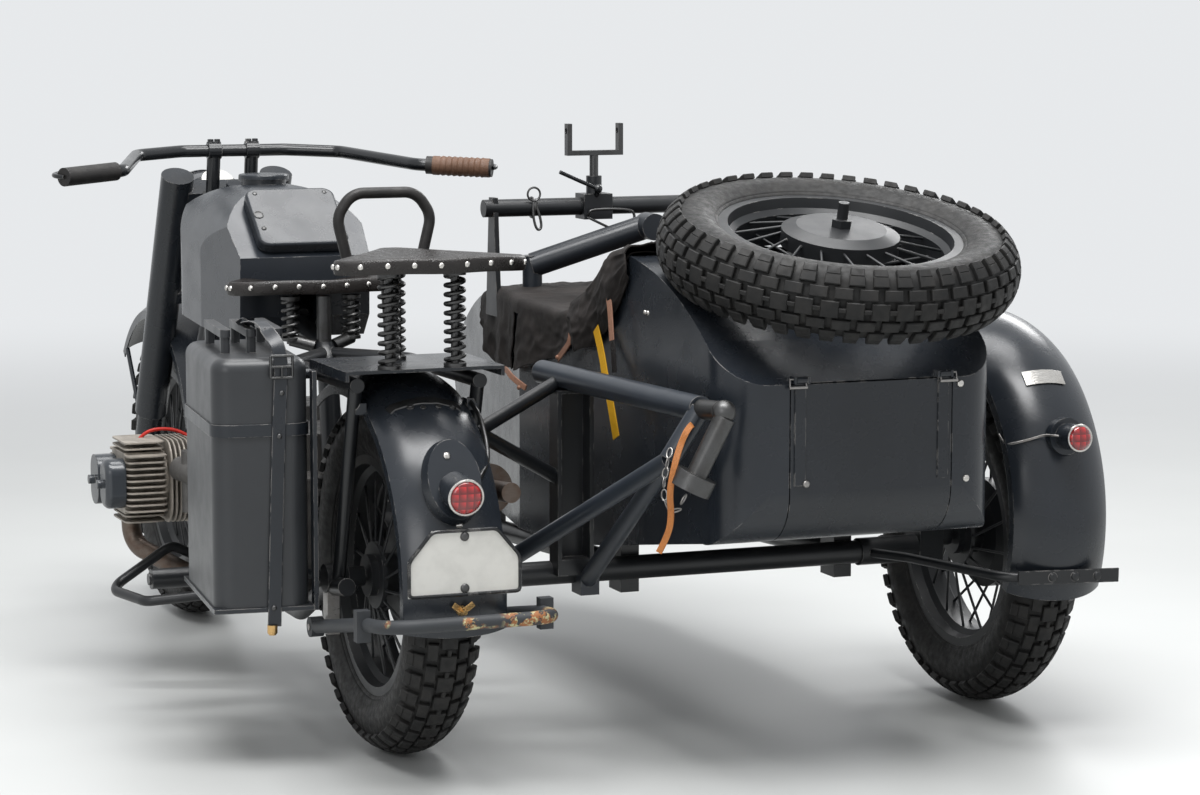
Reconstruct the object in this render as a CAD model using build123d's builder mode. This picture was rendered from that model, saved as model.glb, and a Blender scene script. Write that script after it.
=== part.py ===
from build123d import *
import os
from math import cos, radians, sin

os.makedirs("parts", exist_ok=True)

# Measured from the spot where the rear wheel stands: X to the sidecar, Y forward, Z up, millimetres

# wheels
wheelbase = 1444
track = 1180
wheel_lead = 22
tyre_r = 322
tyre_w = 122
flange_r = 216
seat_r = 205
bead_x = 38
flange_x = 44
hub_r = 38
hub_x = 52
drum_r = 105
axle_r = 10
bore_clearance = 0.05
seat_gap = 0.3
spoke_r = 2.6
spokes_a_side = 16

# steering
rake = 27
fork_offset = 60
leg_x = 105
leg_r = 34
slider_r = 27
leg_top = 735
cover_low = 150
yoke_low = 440
yoke_high = 690
stem_r = 17
head_r = 30
bar_r = 12.5
grip_r = 18
grip_x = 430
lamp_r = 86
lamp_z = 888

# mudguards
guard_t = 2.5
front_guard_r = 378
front_guard_w = 176
rear_guard_r = 376
rear_guard_w = 186
rear_guard_rise = 4
side_guard_r = 372
side_guard_w = 192
side_guard_rise = 66

# machine
frame_r = 16
cradle_x = 100
cradle_z = 215
engine_y = 775
engine_z = 400
cylinder_r = 58
fin_r = 82
fin_t = 3.2
fin_pitch = 9.2
head_x = 238
tip_x = 318
tank_w = 300
saddle_w = 345
rack_z = 706

# sidecar
body_x = 692
body_w = 525
body_t = 3
corner_r = 80
rear_y = -500
seam_z = 695
bulkhead_y = -60
cross_y = 22
cross_z = 300
cross_r = 22
side_r = 20
rail_y = 760
rail_z = 918
rail_r = 18
yoke_x = body_x - 11
yoke_pin_r = 6
arm_x = body_x - body_w / 2 + 90.5
arm_y = 690
spare_x = body_x + 30
spare_y = -318
spare_z = 897
spare_tilt = 13.5
lid_x = body_x + 10
lid_w = body_w - 219
lid_gap = 2
lid_axis_y = -505
lid_axis_z = 702
strap_x = (lid_x - lid_w / 2 + 17, lid_x + lid_w / 2 - 17)

# place of the whole about the middle of its outline on the floor
machine_x = -416.5
rear_axle_y = -565.5


def bar(start, end, radius, mode=Mode.ADD):
    """Round bar from start to end."""
    a = Vector(*start)
    b = Vector(*end)
    with BuildSketch(Plane(origin=a, z_dir=b - a)) as disc:
        Circle(radius)
    extrude(disc.sketch, amount=(b - a).length, mode=mode)


def bent(points, radius, bend, mode=Mode.ADD):
    """Round tube along straight runs with bends of one radius."""
    with BuildLine() as path:
        FilletPolyline(*points, radius=bend)
    with BuildSketch(path.wire() ^ 0) as disc:
        Circle(radius)
    sweep(disc.sketch, path=path.wire(), mode=mode)


def block(x, y, z, mode=Mode.ADD):
    """Box between the two values of each axis."""
    middle = ((x[0] + x[1]) / 2, (y[0] + y[1]) / 2, (z[0] + z[1]) / 2)
    with Locations(middle):
        Box(abs(x[1] - x[0]), abs(y[1] - y[0]), abs(z[1] - z[0]), mode=mode)


def guard_sheet(center, radius, width, crown, start, end):
    """Crowned sheet about a wheel, between two angles from ahead of the axle."""
    a = radians(start)
    across = Plane(origin=center, x_dir=(1, 0, 0), z_dir=(0, -sin(a), cos(a)))
    half = width / 2
    with BuildSketch(across) as section:
        with BuildLine():
            edge = ThreePointArc((-half, radius - crown), (0, radius), (half, radius - crown))
            Line(edge @ 1, (half, radius - crown - 18))
            Line((half, radius - crown - 18), (half - guard_t, radius - crown - 18))
            Line((half - guard_t, radius - crown - 18), (half - guard_t, radius - crown - 1))
            ThreePointArc((half - guard_t, radius - crown - 1), (0, radius - guard_t),
                          (guard_t - half, radius - crown - 1))
            Line((guard_t - half, radius - crown - 1), (guard_t - half, radius - crown - 18))
            Line((guard_t - half, radius - crown - 18), (-half, radius - crown - 18))
            Line((-half, radius - crown - 18), edge @ 0)
        make_face()
    revolve(section.sketch, axis=Axis(center, (1, 0, 0)), revolution_arc=end - start)


# wheel lying flat on its own centre
with BuildPart() as spoke_pair:
    bar((drum_r - 8, 0, 34), (186, 40, 12), spoke_r)
    bar((52, 0, -34), (186, -62, -12), spoke_r)

with BuildPart() as wheel:
    with BuildSketch(Plane.XZ):
        with BuildLine():
            Polyline((flange_r, -flange_x), (flange_r, -bead_x), (seat_r, -bead_x), (201, -22), (192, -14),
                     (192, 14), (201, 22), (seat_r, bead_x), (flange_r, bead_x), (flange_r, flange_x),
                     (200, flange_x), (196, 26), (186, 17), (186, -17), (196, -26), (200, -flange_x), close=True)
        make_face()
    revolve(axis=Axis.Z)
    with BuildSketch(Plane.XZ):
        with BuildLine():
            Polyline((0, -hub_x), (hub_r, -hub_x), (hub_r, -38), (60, -38), (60, -30), (hub_r, -30), (hub_r, 0),
                     (drum_r - 25, 4), (drum_r, 14), (drum_r, 42), (drum_r - 25, hub_x), (0, hub_x), close=True)
        make_face()
    revolve(axis=Axis.Z)
    with PolarLocations(0, spokes_a_side):
        add(spoke_pair.part)
    Hole(axle_r + bore_clearance)

with BuildPart() as tyre:
    with BuildSketch(Plane.XZ):
        with BuildLine():
            Line((seat_r, -bead_x), (flange_r, -bead_x))
            Line((flange_r, -bead_x), (flange_r, -flange_x))
            ThreePointArc((flange_r, -flange_x), (258, -tyre_w / 2), (302, -54))
            ThreePointArc((302, -54), (tyre_r, 0), (302, 54))
            ThreePointArc((302, 54), (258, tyre_w / 2), (flange_r, flange_x))
            Line((flange_r, flange_x), (flange_r, bead_x))
            Line((flange_r, bead_x), (seat_r, bead_x))
            Line((seat_r, bead_x), (seat_r, -bead_x))
        make_face()
    revolve(axis=Axis.Z)

front_hub = (0, wheelbase, tyre_r)
rear_hub = (0, 0, tyre_r)
side_hub = (track, wheel_lead, tyre_r)
spare_hub = (spare_x, spare_y, spare_z)

# steering axis: its foot is the point nearest the front axle
foot_y = wheelbase - fork_offset * cos(radians(rake))
foot_z = tyre_r - fork_offset * sin(radians(rake))
steer = Plane(origin=(0, foot_y, foot_z), x_dir=(1, 0, 0), z_dir=(0, -sin(radians(rake)), cos(radians(rake))))

with BuildPart() as fork_legs:
    with BuildSketch(steer.offset(cover_low)):
        with Locations((-leg_x, fork_offset), (leg_x, fork_offset)):
            Circle(leg_r)
    extrude(amount=leg_top - cover_low)
    with BuildSketch(steer.offset(-24)):
        with Locations((-leg_x, fork_offset), (leg_x, fork_offset)):
            Circle(slider_r)
    extrude(amount=cover_low + 24)
    for level, thick in ((yoke_low, 24), (yoke_high, 18)):
        with BuildSketch(steer.offset(level)):
            with Locations((0, fork_offset)):
                RectangleRounded(2 * leg_x + 60, 56, 26)
            Circle(36)
            with Locations((0, fork_offset / 2)):
                Rectangle(72, fork_offset)
        extrude(amount=thick)
    with BuildSketch(steer.offset(yoke_low)):
        Circle(stem_r)
    extrude(amount=yoke_high - yoke_low + 60)
    bar((-leg_x, wheelbase, tyre_r), (leg_x, wheelbase, tyre_r), axle_r)
    for side in (-1, 1):
        bar((side * (leg_x - 20), wheelbase, tyre_r), (side * (leg_x - slider_r - 16), wheelbase, tyre_r), 18)

with BuildPart() as handlebar:
    bent([(-grip_x, 690, 1004), (-300, 765, 1010), (-215, 1010, 1026), (-110, 1062, 1030), (110, 1062, 1030),
          (215, 1010, 1026), (300, 765, 1010), (grip_x, 690, 1004)], bar_r, 40)
    for side in (-1, 1):
        bar((side * 40, 1062, 1030), (side * 40, 1078, 940), 14)
    with BuildSketch(steer.offset(yoke_high + 18)):
        RectangleRounded(120, 60, 12)
    extrude(amount=10)
    add(fork_legs.part, mode=Mode.SUBTRACT)

with BuildPart() as grips:
    for side in (-1, 1):
        bar((side * (grip_x + 4), 687.7, 1003.8), (side * 318, 754.6, 1009.2), grip_r)
    add(handlebar.part, mode=Mode.SUBTRACT)

with BuildPart() as head_lamp:
    with BuildSketch(Plane.XZ.offset(-1212)):
        with Locations((0, lamp_z)):
            Circle(lamp_r)
    extrude(amount=-92)
    with BuildSketch(Plane.XZ.offset(-1212)):
        with Locations((0, lamp_z)):
            Circle(lamp_r)
    extrude(amount=42, taper=38)
    bar((0, 1302, lamp_z), (0, 1312, lamp_z), lamp_r + 4)
    for side in (-1, 1):
        bar((side * 98, 1165, lamp_z), (side * 76, 1245, lamp_z), 9)
    add(fork_legs.part, mode=Mode.SUBTRACT)

with BuildPart() as front_mudguard:
    guard_sheet(front_hub, front_guard_r, front_guard_w, 34, 42, 158)
    for side in (-1, 1):
        x = side * (front_guard_w / 2 - 3)
        bar((x, wheelbase + 225, 560), (side * 92, wheelbase + 20, 345), 5)
    add(fork_legs.part, mode=Mode.SUBTRACT)

# machine frame with its rear axle
with BuildPart() as frame:
    with BuildSketch(steer.offset(yoke_low + 26)):
        Circle(head_r)
    extrude(amount=yoke_high - yoke_low - 28)
    bent([(0, 1095, 845), (0, 700, 740), (0, 400, 686), (0, 372, 452)], 20, 60)
    for side in (-1, 1):
        bent([(side * 12, 1126, 800), (side * cradle_x, 1000, 560), (side * cradle_x, 960, cradle_z),
              (side * cradle_x, 250, cradle_z), (side * 112, 40, 300), (side * 112, -80, 318)], frame_r, 70)
        bent([(side * 8, 405, 676), (side * 112, 250, 678), (side * 112, -152, 682)], 13, 60)
        bar((side * 112, -140, 682), (side * 112, -30, 325), 12)
        bar((side * 112, -44, 684), (side * 112, -44, rack_z), 9)
        bar((side * 90, 0, tyre_r), (side * 130, 0, tyre_r), 26)
        bar((side * (hub_x + 5), 0, tyre_r), (side * 94, 0, tyre_r), 18)
    bar((-cradle_x, 352, cradle_z), (cradle_x, 352, cradle_z), 13)
    bar((-126, 0, tyre_r), (126, 0, tyre_r), axle_r)
    with BuildSketch(steer.offset(yoke_low + 20)):
        Circle(stem_r + bore_clearance)
    extrude(amount=yoke_high - yoke_low, mode=Mode.SUBTRACT)

with BuildPart() as engine_case:
    with BuildSketch(Plane.YZ.offset(-112)):
        with BuildLine():
            Line((625, 262), (640, 236))
            Line((640, 236), (900, 236))
            ThreePointArc((900, 236), (945, 300), (950, 380))
            ThreePointArc((950, 380), (925, 480), (850, 540))
            Line((850, 540), (690, 540))
            Line((690, 540), (625, 450))
            Line((625, 450), (625, 262))
        make_face()
    extrude(amount=224)
    block((-82, 82), (335, 640), (262, 450))
    block((-60, 60), (430, 625), (440, 520))
    bar((0, 640, 360), (0, 560, 360), 104)
    for y in (420, 660, 880):
        block((-cradle_x - 26, cradle_x + 26), (y, y + 34), (cradle_z - 26, cradle_z + 34))
    add(frame.part, mode=Mode.SUBTRACT)

with BuildPart() as right_cylinder:
    bar((112, engine_y, engine_z), (head_x, engine_y, engine_z), cylinder_r)
    for row in range(13):
        with BuildSketch(Plane.YZ.offset(118 + row * fin_pitch)):
            with Locations((engine_y, engine_z)):
                RectangleRounded(2 * fin_r, 2 * fin_r, 44)
        extrude(amount=fin_t)
    block((head_x, tip_x), (engine_y - 52, engine_y + 52), (engine_z - 60, engine_z + 60))
    for row in range(14):
        z = engine_z - 78 + row * 12
        reach = 84 if abs(z - engine_z) < 62 else 60
        with BuildSketch(Plane.XY.offset(z)):
            with Locations(((head_x + tip_x) / 2, engine_y)):
                RectangleRounded(tip_x - head_x, 2 * reach, 14)
        extrude(amount=fin_t)
    block((head_x + 10, tip_x - 10), (engine_y - 20, engine_y + 20), (engine_z - 78, engine_z + 80))

with BuildPart() as left_cylinder:
    mirror(right_cylinder.part, about=Plane.YZ)

with BuildPart() as right_covers:
    for y in (engine_y - 36, engine_y + 36):
        with BuildSketch(Plane.YZ.offset(tip_x)):
            with Locations((y, engine_z)):
                RectangleRounded(66, 98, 30)
        extrude(amount=40)
    fillet(right_covers.faces().sort_by(Axis.X)[-1].edges(), 12)
    for y in (engine_y - 36, engine_y + 36):
        bar((tip_x + 30, y, engine_z), (tip_x + 52, y, engine_z), 9)

with BuildPart() as valve_covers:
    add(right_covers.part)
    mirror(right_covers.part, about=Plane.YZ)

with BuildPart() as carburettors:
    for side in (-1, 1):
        bar((side * 215, engine_y - 84, 430), (side * 195, 610, 425), 24)
        bar((side * 200, 650, 350), (side * 200, 650, 470), 22)
        bar((side * 200, 620, 425), (side * 61, 500, 480), 20)
    add(engine_case.part, mode=Mode.SUBTRACT)
    add(left_cylinder.part, mode=Mode.SUBTRACT)
    add(right_cylinder.part, mode=Mode.SUBTRACT)

with BuildPart() as exhaust:
    bent([(270, engine_y + 84, 395), (270, 900, 390), (262, 905, 250), (175, 760, 240), (168, 420, 300),
          (170, 300, 440)], 19, 45)
    bent([(-270, engine_y + 84, 395), (-270, 900, 390), (-262, 905, 250), (-150, 700, 190), (150, 560, 190),
          (168, 460, 290)], 19, 45)
    bar((170, 330, 440), (170, -30, 470), 46)
    bar((170, 350, 438), (170, 330, 440), 30)
    bar((170, -30, 470), (170, -150, 480), 18)
    add(left_cylinder.part, mode=Mode.SUBTRACT)
    add(right_cylinder.part, mode=Mode.SUBTRACT)
    add(frame.part, mode=Mode.SUBTRACT)
    add(engine_case.part, mode=Mode.SUBTRACT)

with BuildPart() as axle_drive:
    bar((58, 0, tyre_r), (88, 0, tyre_r), 80)
    bar((130, 0, tyre_r), (152, 0, tyre_r), 46)
    bar((95, 30, tyre_r + 4), (95, 335, 352), 27)
    block((60, 112), (330, 420), (300, 400))
    block((60, 136), (-50, 50), (tyre_r - 50, tyre_r + 50))
    with Locations((0, 0, tyre_r)):
        Cylinder(21, 120, rotation=(0, 90, 0), mode=Mode.SUBTRACT)
    add(frame.part, mode=Mode.SUBTRACT)
    add(engine_case.part, mode=Mode.SUBTRACT)
    add(exhaust.part, mode=Mode.SUBTRACT)

with BuildPart() as foot_gear:
    for side in (-1, 1):
        bent([(side * cradle_x, 800, 205), (side * 210, 790, 262), (side * 340, 770, 185), (side * 300, 640, 180),
              (side * cradle_x, 560, 205)], 10, 28)
        bar((side * cradle_x, 430, 262), (side * 345, 430, 262), 11)
        bar((side * 232, 430, 262), (side * 340, 430, 262), 19)
        block((side * 84, side * 116), (418, 442), (cradle_z, 272))
    add(frame.part, mode=Mode.SUBTRACT)
    add(engine_case.part, mode=Mode.SUBTRACT)
    add(exhaust.part, mode=Mode.SUBTRACT)
    add(axle_drive.part, mode=Mode.SUBTRACT)

with BuildPart() as fuel_tank:
    with BuildSketch(Plane.YZ.offset(-tank_w / 2)):
        with BuildLine():
            Line((545, 735), (540, 850))
            Line((540, 850), (680, 962))
            ThreePointArc((680, 962), (850, 970), (980, 925))
            ThreePointArc((980, 925), (1008, 880), (1004, 800))
            Line((1004, 800), (950, 712))
            Line((950, 712), (600, 690))
            Line((600, 690), (545, 735))
        make_face()
    extrude(amount=tank_w)
    with BuildSketch(Plane.XZ.offset(-1020)):
        with BuildLine():
            Line((-tank_w / 2, 680), (-tank_w / 2, 850))
            ThreePointArc((-tank_w / 2, 850), (-tank_w / 2 + 32, 932), (-tank_w / 2 + 104, 974))
            Line((-tank_w / 2 + 104, 974), (tank_w / 2 - 104, 974))
            ThreePointArc((tank_w / 2 - 104, 974), (tank_w / 2 - 32, 932), (tank_w / 2, 850))
            Line((tank_w / 2, 850), (tank_w / 2, 680))
            Line((tank_w / 2, 680), (-tank_w / 2, 680))
        make_face()
    extrude(amount=500, mode=Mode.INTERSECT)
    with BuildSketch(Plane.XY.offset(680)):
        with BuildLine():
            Line((-128, 530), (128, 530))
            Line((128, 530), (tank_w / 2, 760))
            Line((tank_w / 2, 760), (tank_w / 2, 900))
            ThreePointArc((tank_w / 2, 900), (112, 985), (40, 1012))
            Line((40, 1012), (-40, 1012))
            ThreePointArc((-40, 1012), (-112, 985), (-tank_w / 2, 900))
            Line((-tank_w / 2, 900), (-tank_w / 2, 760))
            Line((-tank_w / 2, 760), (-128, 530))
        make_face()
    extrude(amount=320, mode=Mode.INTERSECT)
    block((-24, 24), (400, 1060), (600, 780), mode=Mode.SUBTRACT)
    add(frame.part, mode=Mode.SUBTRACT)
    bar((0, 830, 955), (0, 830, 984), 44)

with BuildPart() as filler_cap:
    bar((0, 830, 984), (0, 830, 994), 50)
    fillet(filler_cap.faces().sort_by(Axis.Z)[-1].edges(), 4)

lid_slope = Plane(origin=(0, 610, 906), x_dir=(1, 0, 0), z_dir=(0, -112, 140))
with BuildPart() as toolbox_lid:
    with BuildSketch(lid_slope.offset(0.3)):
        RectangleRounded(180, 160, 24)
    extrude(amount=26)
    fillet(toolbox_lid.faces().sort_by(Axis.Z)[-1].edges(), 6)

with BuildPart() as front_saddle:
    with BuildSketch(Plane.XY.offset(785)):
        with BuildLine():
            ThreePointArc((-saddle_w / 2, 480), (0, 395), (saddle_w / 2, 480))
            ThreePointArc((saddle_w / 2, 480), (120, 580), (34, 700))
            ThreePointArc((34, 700), (0, 720), (-34, 700))
            ThreePointArc((-34, 700), (-120, 580), (-saddle_w / 2, 480))
        make_face()
    extrude(amount=26)
    add(fuel_tank.part, mode=Mode.SUBTRACT)

with BuildPart() as rear_saddle:
    with BuildSketch(Plane.XY.offset(878)):
        with BuildLine():
            ThreePointArc((-saddle_w / 2, -215), (0, -300), (saddle_w / 2, -215))
            ThreePointArc((saddle_w / 2, -215), (120, -115), (34, 5))
            ThreePointArc((34, 5), (0, 25), (-34, 5))
            ThreePointArc((-34, 5), (-120, -115), (-saddle_w / 2, -215))
        make_face()
    extrude(amount=28)

with BuildPart() as rear_mudguard:
    guard_sheet((0, 0, tyre_r + rear_guard_rise), rear_guard_r, rear_guard_w, 36, 62, 188)
    for side in (-1, 1):
        block((side * (rear_guard_w / 2 - 1), side * 112), (-140, -114), (630, 650))
    add(frame.part, mode=Mode.SUBTRACT)

with BuildPart() as rack_plate:
    block((-138, 138), (-190, 30), (rack_z, rack_z + 6))
    for side in (-1, 1):
        block((side * 138, side * 144), (-190, 30), (rack_z - 12, rack_z + 6))
    add(frame.part, mode=Mode.SUBTRACT)
    add(rear_mudguard.part, mode=Mode.SUBTRACT)

with BuildPart() as saddle_springs:
    bar((0, 420, 690), (0, 420, 785), 14)
    bar((0, 560, 740), (0, 640, 785), 10)
    for side in (-1, 1):
        bar((side * 60, 440, 700), (side * 60, 440, 785), 18)
        bar((side * 60, -170, rack_z + 6), (side * 60, -170, 878), 20)
        bar((side * 60, 440, 700), (side * 18, 420, 690), 12)
    bar((0, -30, rack_z + 6), (0, -30, 878), 16)
    add(frame.part, mode=Mode.SUBTRACT)
    add(fuel_tank.part, mode=Mode.SUBTRACT)

with BuildPart() as hoop_handle:
    bent([(-66, 40, 870), (-88, 40, 960), (-60, 40, 1002), (60, 40, 1002), (88, 40, 960), (66, 40, 870)], 10, 42)
    bar((-66, 40, 873), (66, 40, 873), 10)
    bar((0, 10, rack_z + 6), (0, 40, 870), 9)
    add(rack_plate.part, mode=Mode.SUBTRACT)
    add(rear_saddle.part, mode=Mode.SUBTRACT)
    add(saddle_springs.part, mode=Mode.SUBTRACT)

tail_tilt = Plane(origin=(0, -318, 530), x_dir=(1, 0, 0), z_dir=(0, -1, 0.45))
with BuildPart() as tail_lamp:
    with BuildSketch(tail_tilt):
        Ellipse(52, 76)
    extrude(amount=24, taper=12)
    bar((0, -340, 524), (0, -398, 517), 30)
    add(rear_mudguard.part, mode=Mode.SUBTRACT)

with BuildPart() as number_plate:
    with BuildSketch(Plane.XZ.offset(388)):
        with BuildLine():
            Polyline((-100, 350), (100, 350), (100, 412), (58, 462), (-58, 462), (-100, 412), close=True)
        make_face()
    extrude(amount=2)
    block((-12, 12), (-388, -340), (395, 440))
    add(rear_mudguard.part, mode=Mode.SUBTRACT)
    add(tail_lamp.part, mode=Mode.SUBTRACT)

# rear stand folded up behind the wheel
with BuildPart() as rear_stand:
    bent([(-146, 0, 236), (-158, -330, 300), (-150, -440, 312), (150, -440, 312), (158, -330, 300),
          (146, 0, 236)], 12, 60)
    for side in (-1, 1):
        bar((side * 134, 0, 236), (side * 158, 0, 236), 18)
        block((side * 152, side * 176), (-345, -325), (272, 326))
    for side in (-1, 1):
        bar((side * 166, 0, 236), (side * 126, 0, 236), axle_r - 4 + bore_clearance, mode=Mode.SUBTRACT)

with BuildPart() as stand_pins:
    for side in (-1, 1):
        bar((side * 112, 0, 236), (side * 160, 0, 236), axle_r - 4)
        block((side * 106, side * 128), (-14, 14), (222, 300))
    add(frame.part, mode=Mode.SUBTRACT)
    add(axle_drive.part, mode=Mode.SUBTRACT)

# fuel can in its rack
can_yaw = 5.8
can_w = 168
can_l = 345
can_h = 478
can_place = Plane(Location((-262, -78, 292), (0, 0, -can_yaw)))
with BuildPart() as fuel_can:
    with BuildSketch(can_place):
        with Locations((0, can_l / 2)):
            RectangleRounded(can_w, can_l, 34)
    extrude(amount=can_h - 42)
    fillet(fuel_can.faces().sort_by(Axis.Z)[-1].edges(), 22)
    for x in (-46, 0, 46):
        with BuildSketch(can_place.offset(can_h - 46)):
            with Locations((x, 105), (x, 275)):
                RectangleRounded(16, 20, 5)
        extrude(amount=40)
        with BuildSketch(can_place.offset(can_h - 14)):
            with Locations((x, 190)):
                RectangleRounded(18, 196, 8)
        extrude(amount=14)

with BuildPart() as can_rack:
    with BuildSketch(can_place.offset(-8)):
        with Locations((0, can_l / 2)):
            Rectangle(can_w + 8, can_l + 8)
            Rectangle(can_w - 56, can_l - 60, mode=Mode.SUBTRACT)
    extrude(amount=8)
    for y in (8, can_l - 8):
        with BuildSketch(can_place.offset(-8)):
            with Locations((can_w / 2 + 8, y)):
                Rectangle(8, 26)
        extrude(amount=420)
    for y in (60, 240):
        bar((-172, y, 682), (-100, y, 682), 9)
    bar((-172, 40, 330), (-112, 40, 318), 9)
    add(fuel_can.part, mode=Mode.SUBTRACT)
    add(frame.part, mode=Mode.SUBTRACT)

with BuildPart() as can_straps:
    with BuildSketch(can_place.offset(300)):
        with Locations((0, can_l / 2)):
            RectangleRounded(can_w + 6, can_l + 6, 37)
            RectangleRounded(can_w, can_l, 34, mode=Mode.SUBTRACT)
    extrude(amount=22)
    add(can_rack.part, mode=Mode.SUBTRACT)

# sidecar body: outline from the side and from above, the same for the outer and the inner skin
def body_form(inset):
    """Closed form of the sidecar body, smaller all round by inset."""
    with BuildPart() as form:
        with BuildSketch(Plane.YZ.offset(body_x - body_w / 2 + inset)) as side_view:
            with BuildLine():
                Line((rear_y, seam_z), (rear_y, 510))
                ThreePointArc((rear_y, 510), (-470, 438), (-400, 412))
                Line((-400, 412), (85, 333))
                ThreePointArc((85, 333), (350, 305), (620, 300))
                Line((620, 300), (900, 305))
                ThreePointArc((900, 305), (1160, 400), (1270, 560))
                ThreePointArc((1270, 560), (1010, 700), (660, 752))
                Line((660, 752), (300, 745))
                ThreePointArc((300, 745), (140, 790), (20, 868))
                Line((20, 868), (bulkhead_y, 884))
                ThreePointArc((bulkhead_y, 884), (-255, 840), (-410, 762))
                Line((-410, 762), (rear_y, seam_z))
            make_face()
            if inset:
                offset(amount=-inset, kind=Kind.ARC, mode=Mode.REPLACE)
        extrude(amount=body_w - 2 * inset)
        with BuildSketch(Plane.XY.offset(200)) as plan:
            with BuildLine():
                Polyline((body_x - body_w / 2 + inset, rear_y + inset), (body_x - body_w / 2 + inset, 520),
                         (body_x - 140 + inset, 1300), (body_x + 140 - inset, 1300),
                         (body_x + body_w / 2 - inset, 520), (body_x + body_w / 2 - inset, rear_y + inset),
                         close=True)
            make_face()
            fillet(plan.vertices().sort_by(Axis.Y)[:2], corner_r - inset)
        extrude(amount=800, mode=Mode.INTERSECT)
    return form.part


with BuildPart() as body_skin:
    add(body_form(0))

# sidecar frame with its struts and axle
with BuildPart() as sidecar_frame:
    bar((150, cross_y, cross_z), (1085, cross_y, cross_z), cross_r)
    bar((930, cross_y, cross_z), (1085, cross_y, cross_z), cross_r + 4)
    bar((1080, cross_y, tyre_r), (track + hub_x + 6, cross_y, tyre_r), axle_r)
    bar((1090, cross_y, tyre_r), (track - hub_x - 5, cross_y, tyre_r), 20)
    block((1050, 1100), (cross_y - 26, cross_y + 26), (cross_z - 26, tyre_r + 26))
    bent([(470, cross_y, cross_z), (470, 900, 250), (520, 1080, 250), (860, 1080, 250), (910, 900, 250),
          (910, cross_y, cross_z)], side_r, 110)
    bar((130, 900, 232), (480, 860, 250), side_r)
    bar((128, 20, 400), (190, 22, 300), 20)
    bar((114, -122, 588), (330, 20, 656), 13)
    bar((114, -122, 588), (330, 10, 470), 13)
    block((306, 376), (-22, 22), (cross_z, 640))
    block((314, 368), (-30, 12), (cross_z + 30, 634), mode=Mode.SUBTRACT)
    for x in (472, 908):
        for y in (70, 800):
            block((x - 18, x + 18), (y - 30, y + 30), (250, 345))
    add(body_skin.part, mode=Mode.SUBTRACT)
    add(frame.part, mode=Mode.SUBTRACT)
    add(axle_drive.part, mode=Mode.SUBTRACT)
    add(exhaust.part, mode=Mode.SUBTRACT)

tow_end = (382, -500, 661)
legs_top = (330, -490, 576)
with BuildPart() as tow_frame:
    bar((320, 95, 662), tow_end, 22)
    bar((192, 0, 318), legs_top, 16)
    bar((368, 0, 282), legs_top, 16)
    bar(legs_top, tow_end, 18)
    block((350, 386), (-24, 24), (262, 300))
    add(sidecar_frame.part, mode=Mode.SUBTRACT)

with BuildPart() as tow_coupling:
    bar((382, -503, 661), (392, -560, 664), 17)
    with Locations((394, -572, 664)):
        Sphere(20)
    bar((394, -575, 655), (350, -560, 560), 18)
    bar((350, -560, 560), (338, -556, 534), 36)
    add(tow_frame.part, mode=Mode.SUBTRACT)

with BuildPart() as body_room:
    add(body_form(body_t))

with BuildPart() as body_shell:
    add(body_skin.part)
    add(body_room.part, mode=Mode.SUBTRACT)

with BuildPart() as bulkhead:
    add(body_room.part)
    block((0, 1200), (bulkhead_y - body_t, bulkhead_y), (0, 1200), mode=Mode.INTERSECT)

with BuildPart() as sidecar_body:
    add(body_shell.part)
    add(bulkhead.part)
    block((body_x - body_w / 2 + 30, body_x + body_w / 2 - 30), (bulkhead_y + 20, 640), (500, 1000), mode=Mode.SUBTRACT)
    block((lid_x - lid_w / 2 - lid_gap, lid_x + lid_w / 2 + lid_gap), (rear_y - 20, -425), (380, seam_z + 1),
          mode=Mode.SUBTRACT)
    for x in strap_x:
        for side in (-1, 1):
            block((x + side * 10.5, x + side * 15), (lid_axis_y - 5, rear_y + 9), (seam_z + 1, lid_axis_z + 6))
        bar((x - 15, lid_axis_y, lid_axis_z), (x + 15, lid_axis_y, lid_axis_z), 3)

with BuildPart() as trunk_lid:
    add(body_shell.part)
    block((lid_x - lid_w / 2, lid_x + lid_w / 2), (rear_y - 20, -427), (380, seam_z - 1), mode=Mode.INTERSECT)
    for x in strap_x:
        block((x - 10, x + 10), (rear_y - 3, rear_y), (520, lid_axis_z))
        bar((x - 10, lid_axis_y, lid_axis_z), (x + 10, lid_axis_y, lid_axis_z), 6)
        bar((x - 12, lid_axis_y, lid_axis_z), (x + 12, lid_axis_y, lid_axis_z), 3 + bore_clearance, mode=Mode.SUBTRACT)

with BuildPart() as sidecar_seat:
    block((body_x - 200, body_x + 200), (0, 380), (362, 450))
    block((body_x - 200, body_x + 200), (bulkhead_y + 0.3, 0), (362, 700))
    fillet(sidecar_seat.edges().filter_by(Axis.X), 18)

with BuildPart() as canvas_cover:
    with BuildSketch(Plane.YZ.offset(body_x - body_w / 2 - 10)) as drape:
        with BuildLine():
            Line((-44, 881.2), (20, 868.4))
            ThreePointArc((20, 868.4), (140, 790.4), (300, 745.4))
            Line((300, 745.4), (560, 750.5))
            Line((560, 750.5), (560, 761))
            Line((560, 761), (302, 757))
            ThreePointArc((302, 757), (146, 801), (26, 880))
            Line((26, 880), (-44, 893))
            Line((-44, 893), (-44, 881.2))
        make_face()
    extrude(amount=body_w + 4)
    block((body_x - body_w / 2 - 12, body_x - body_w / 2 - 0.4), (120, 480), (560, 752))

with BuildPart() as sidecar_mudguard:
    guard_sheet((track, wheel_lead, tyre_r + side_guard_rise), side_guard_r, side_guard_w, 40, 8, 202)

with BuildPart() as guard_seat:
    guard_sheet((track, wheel_lead, tyre_r + side_guard_rise), side_guard_r + seat_gap, side_guard_w + 2 * seat_gap,
                40, 4, 206)

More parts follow.
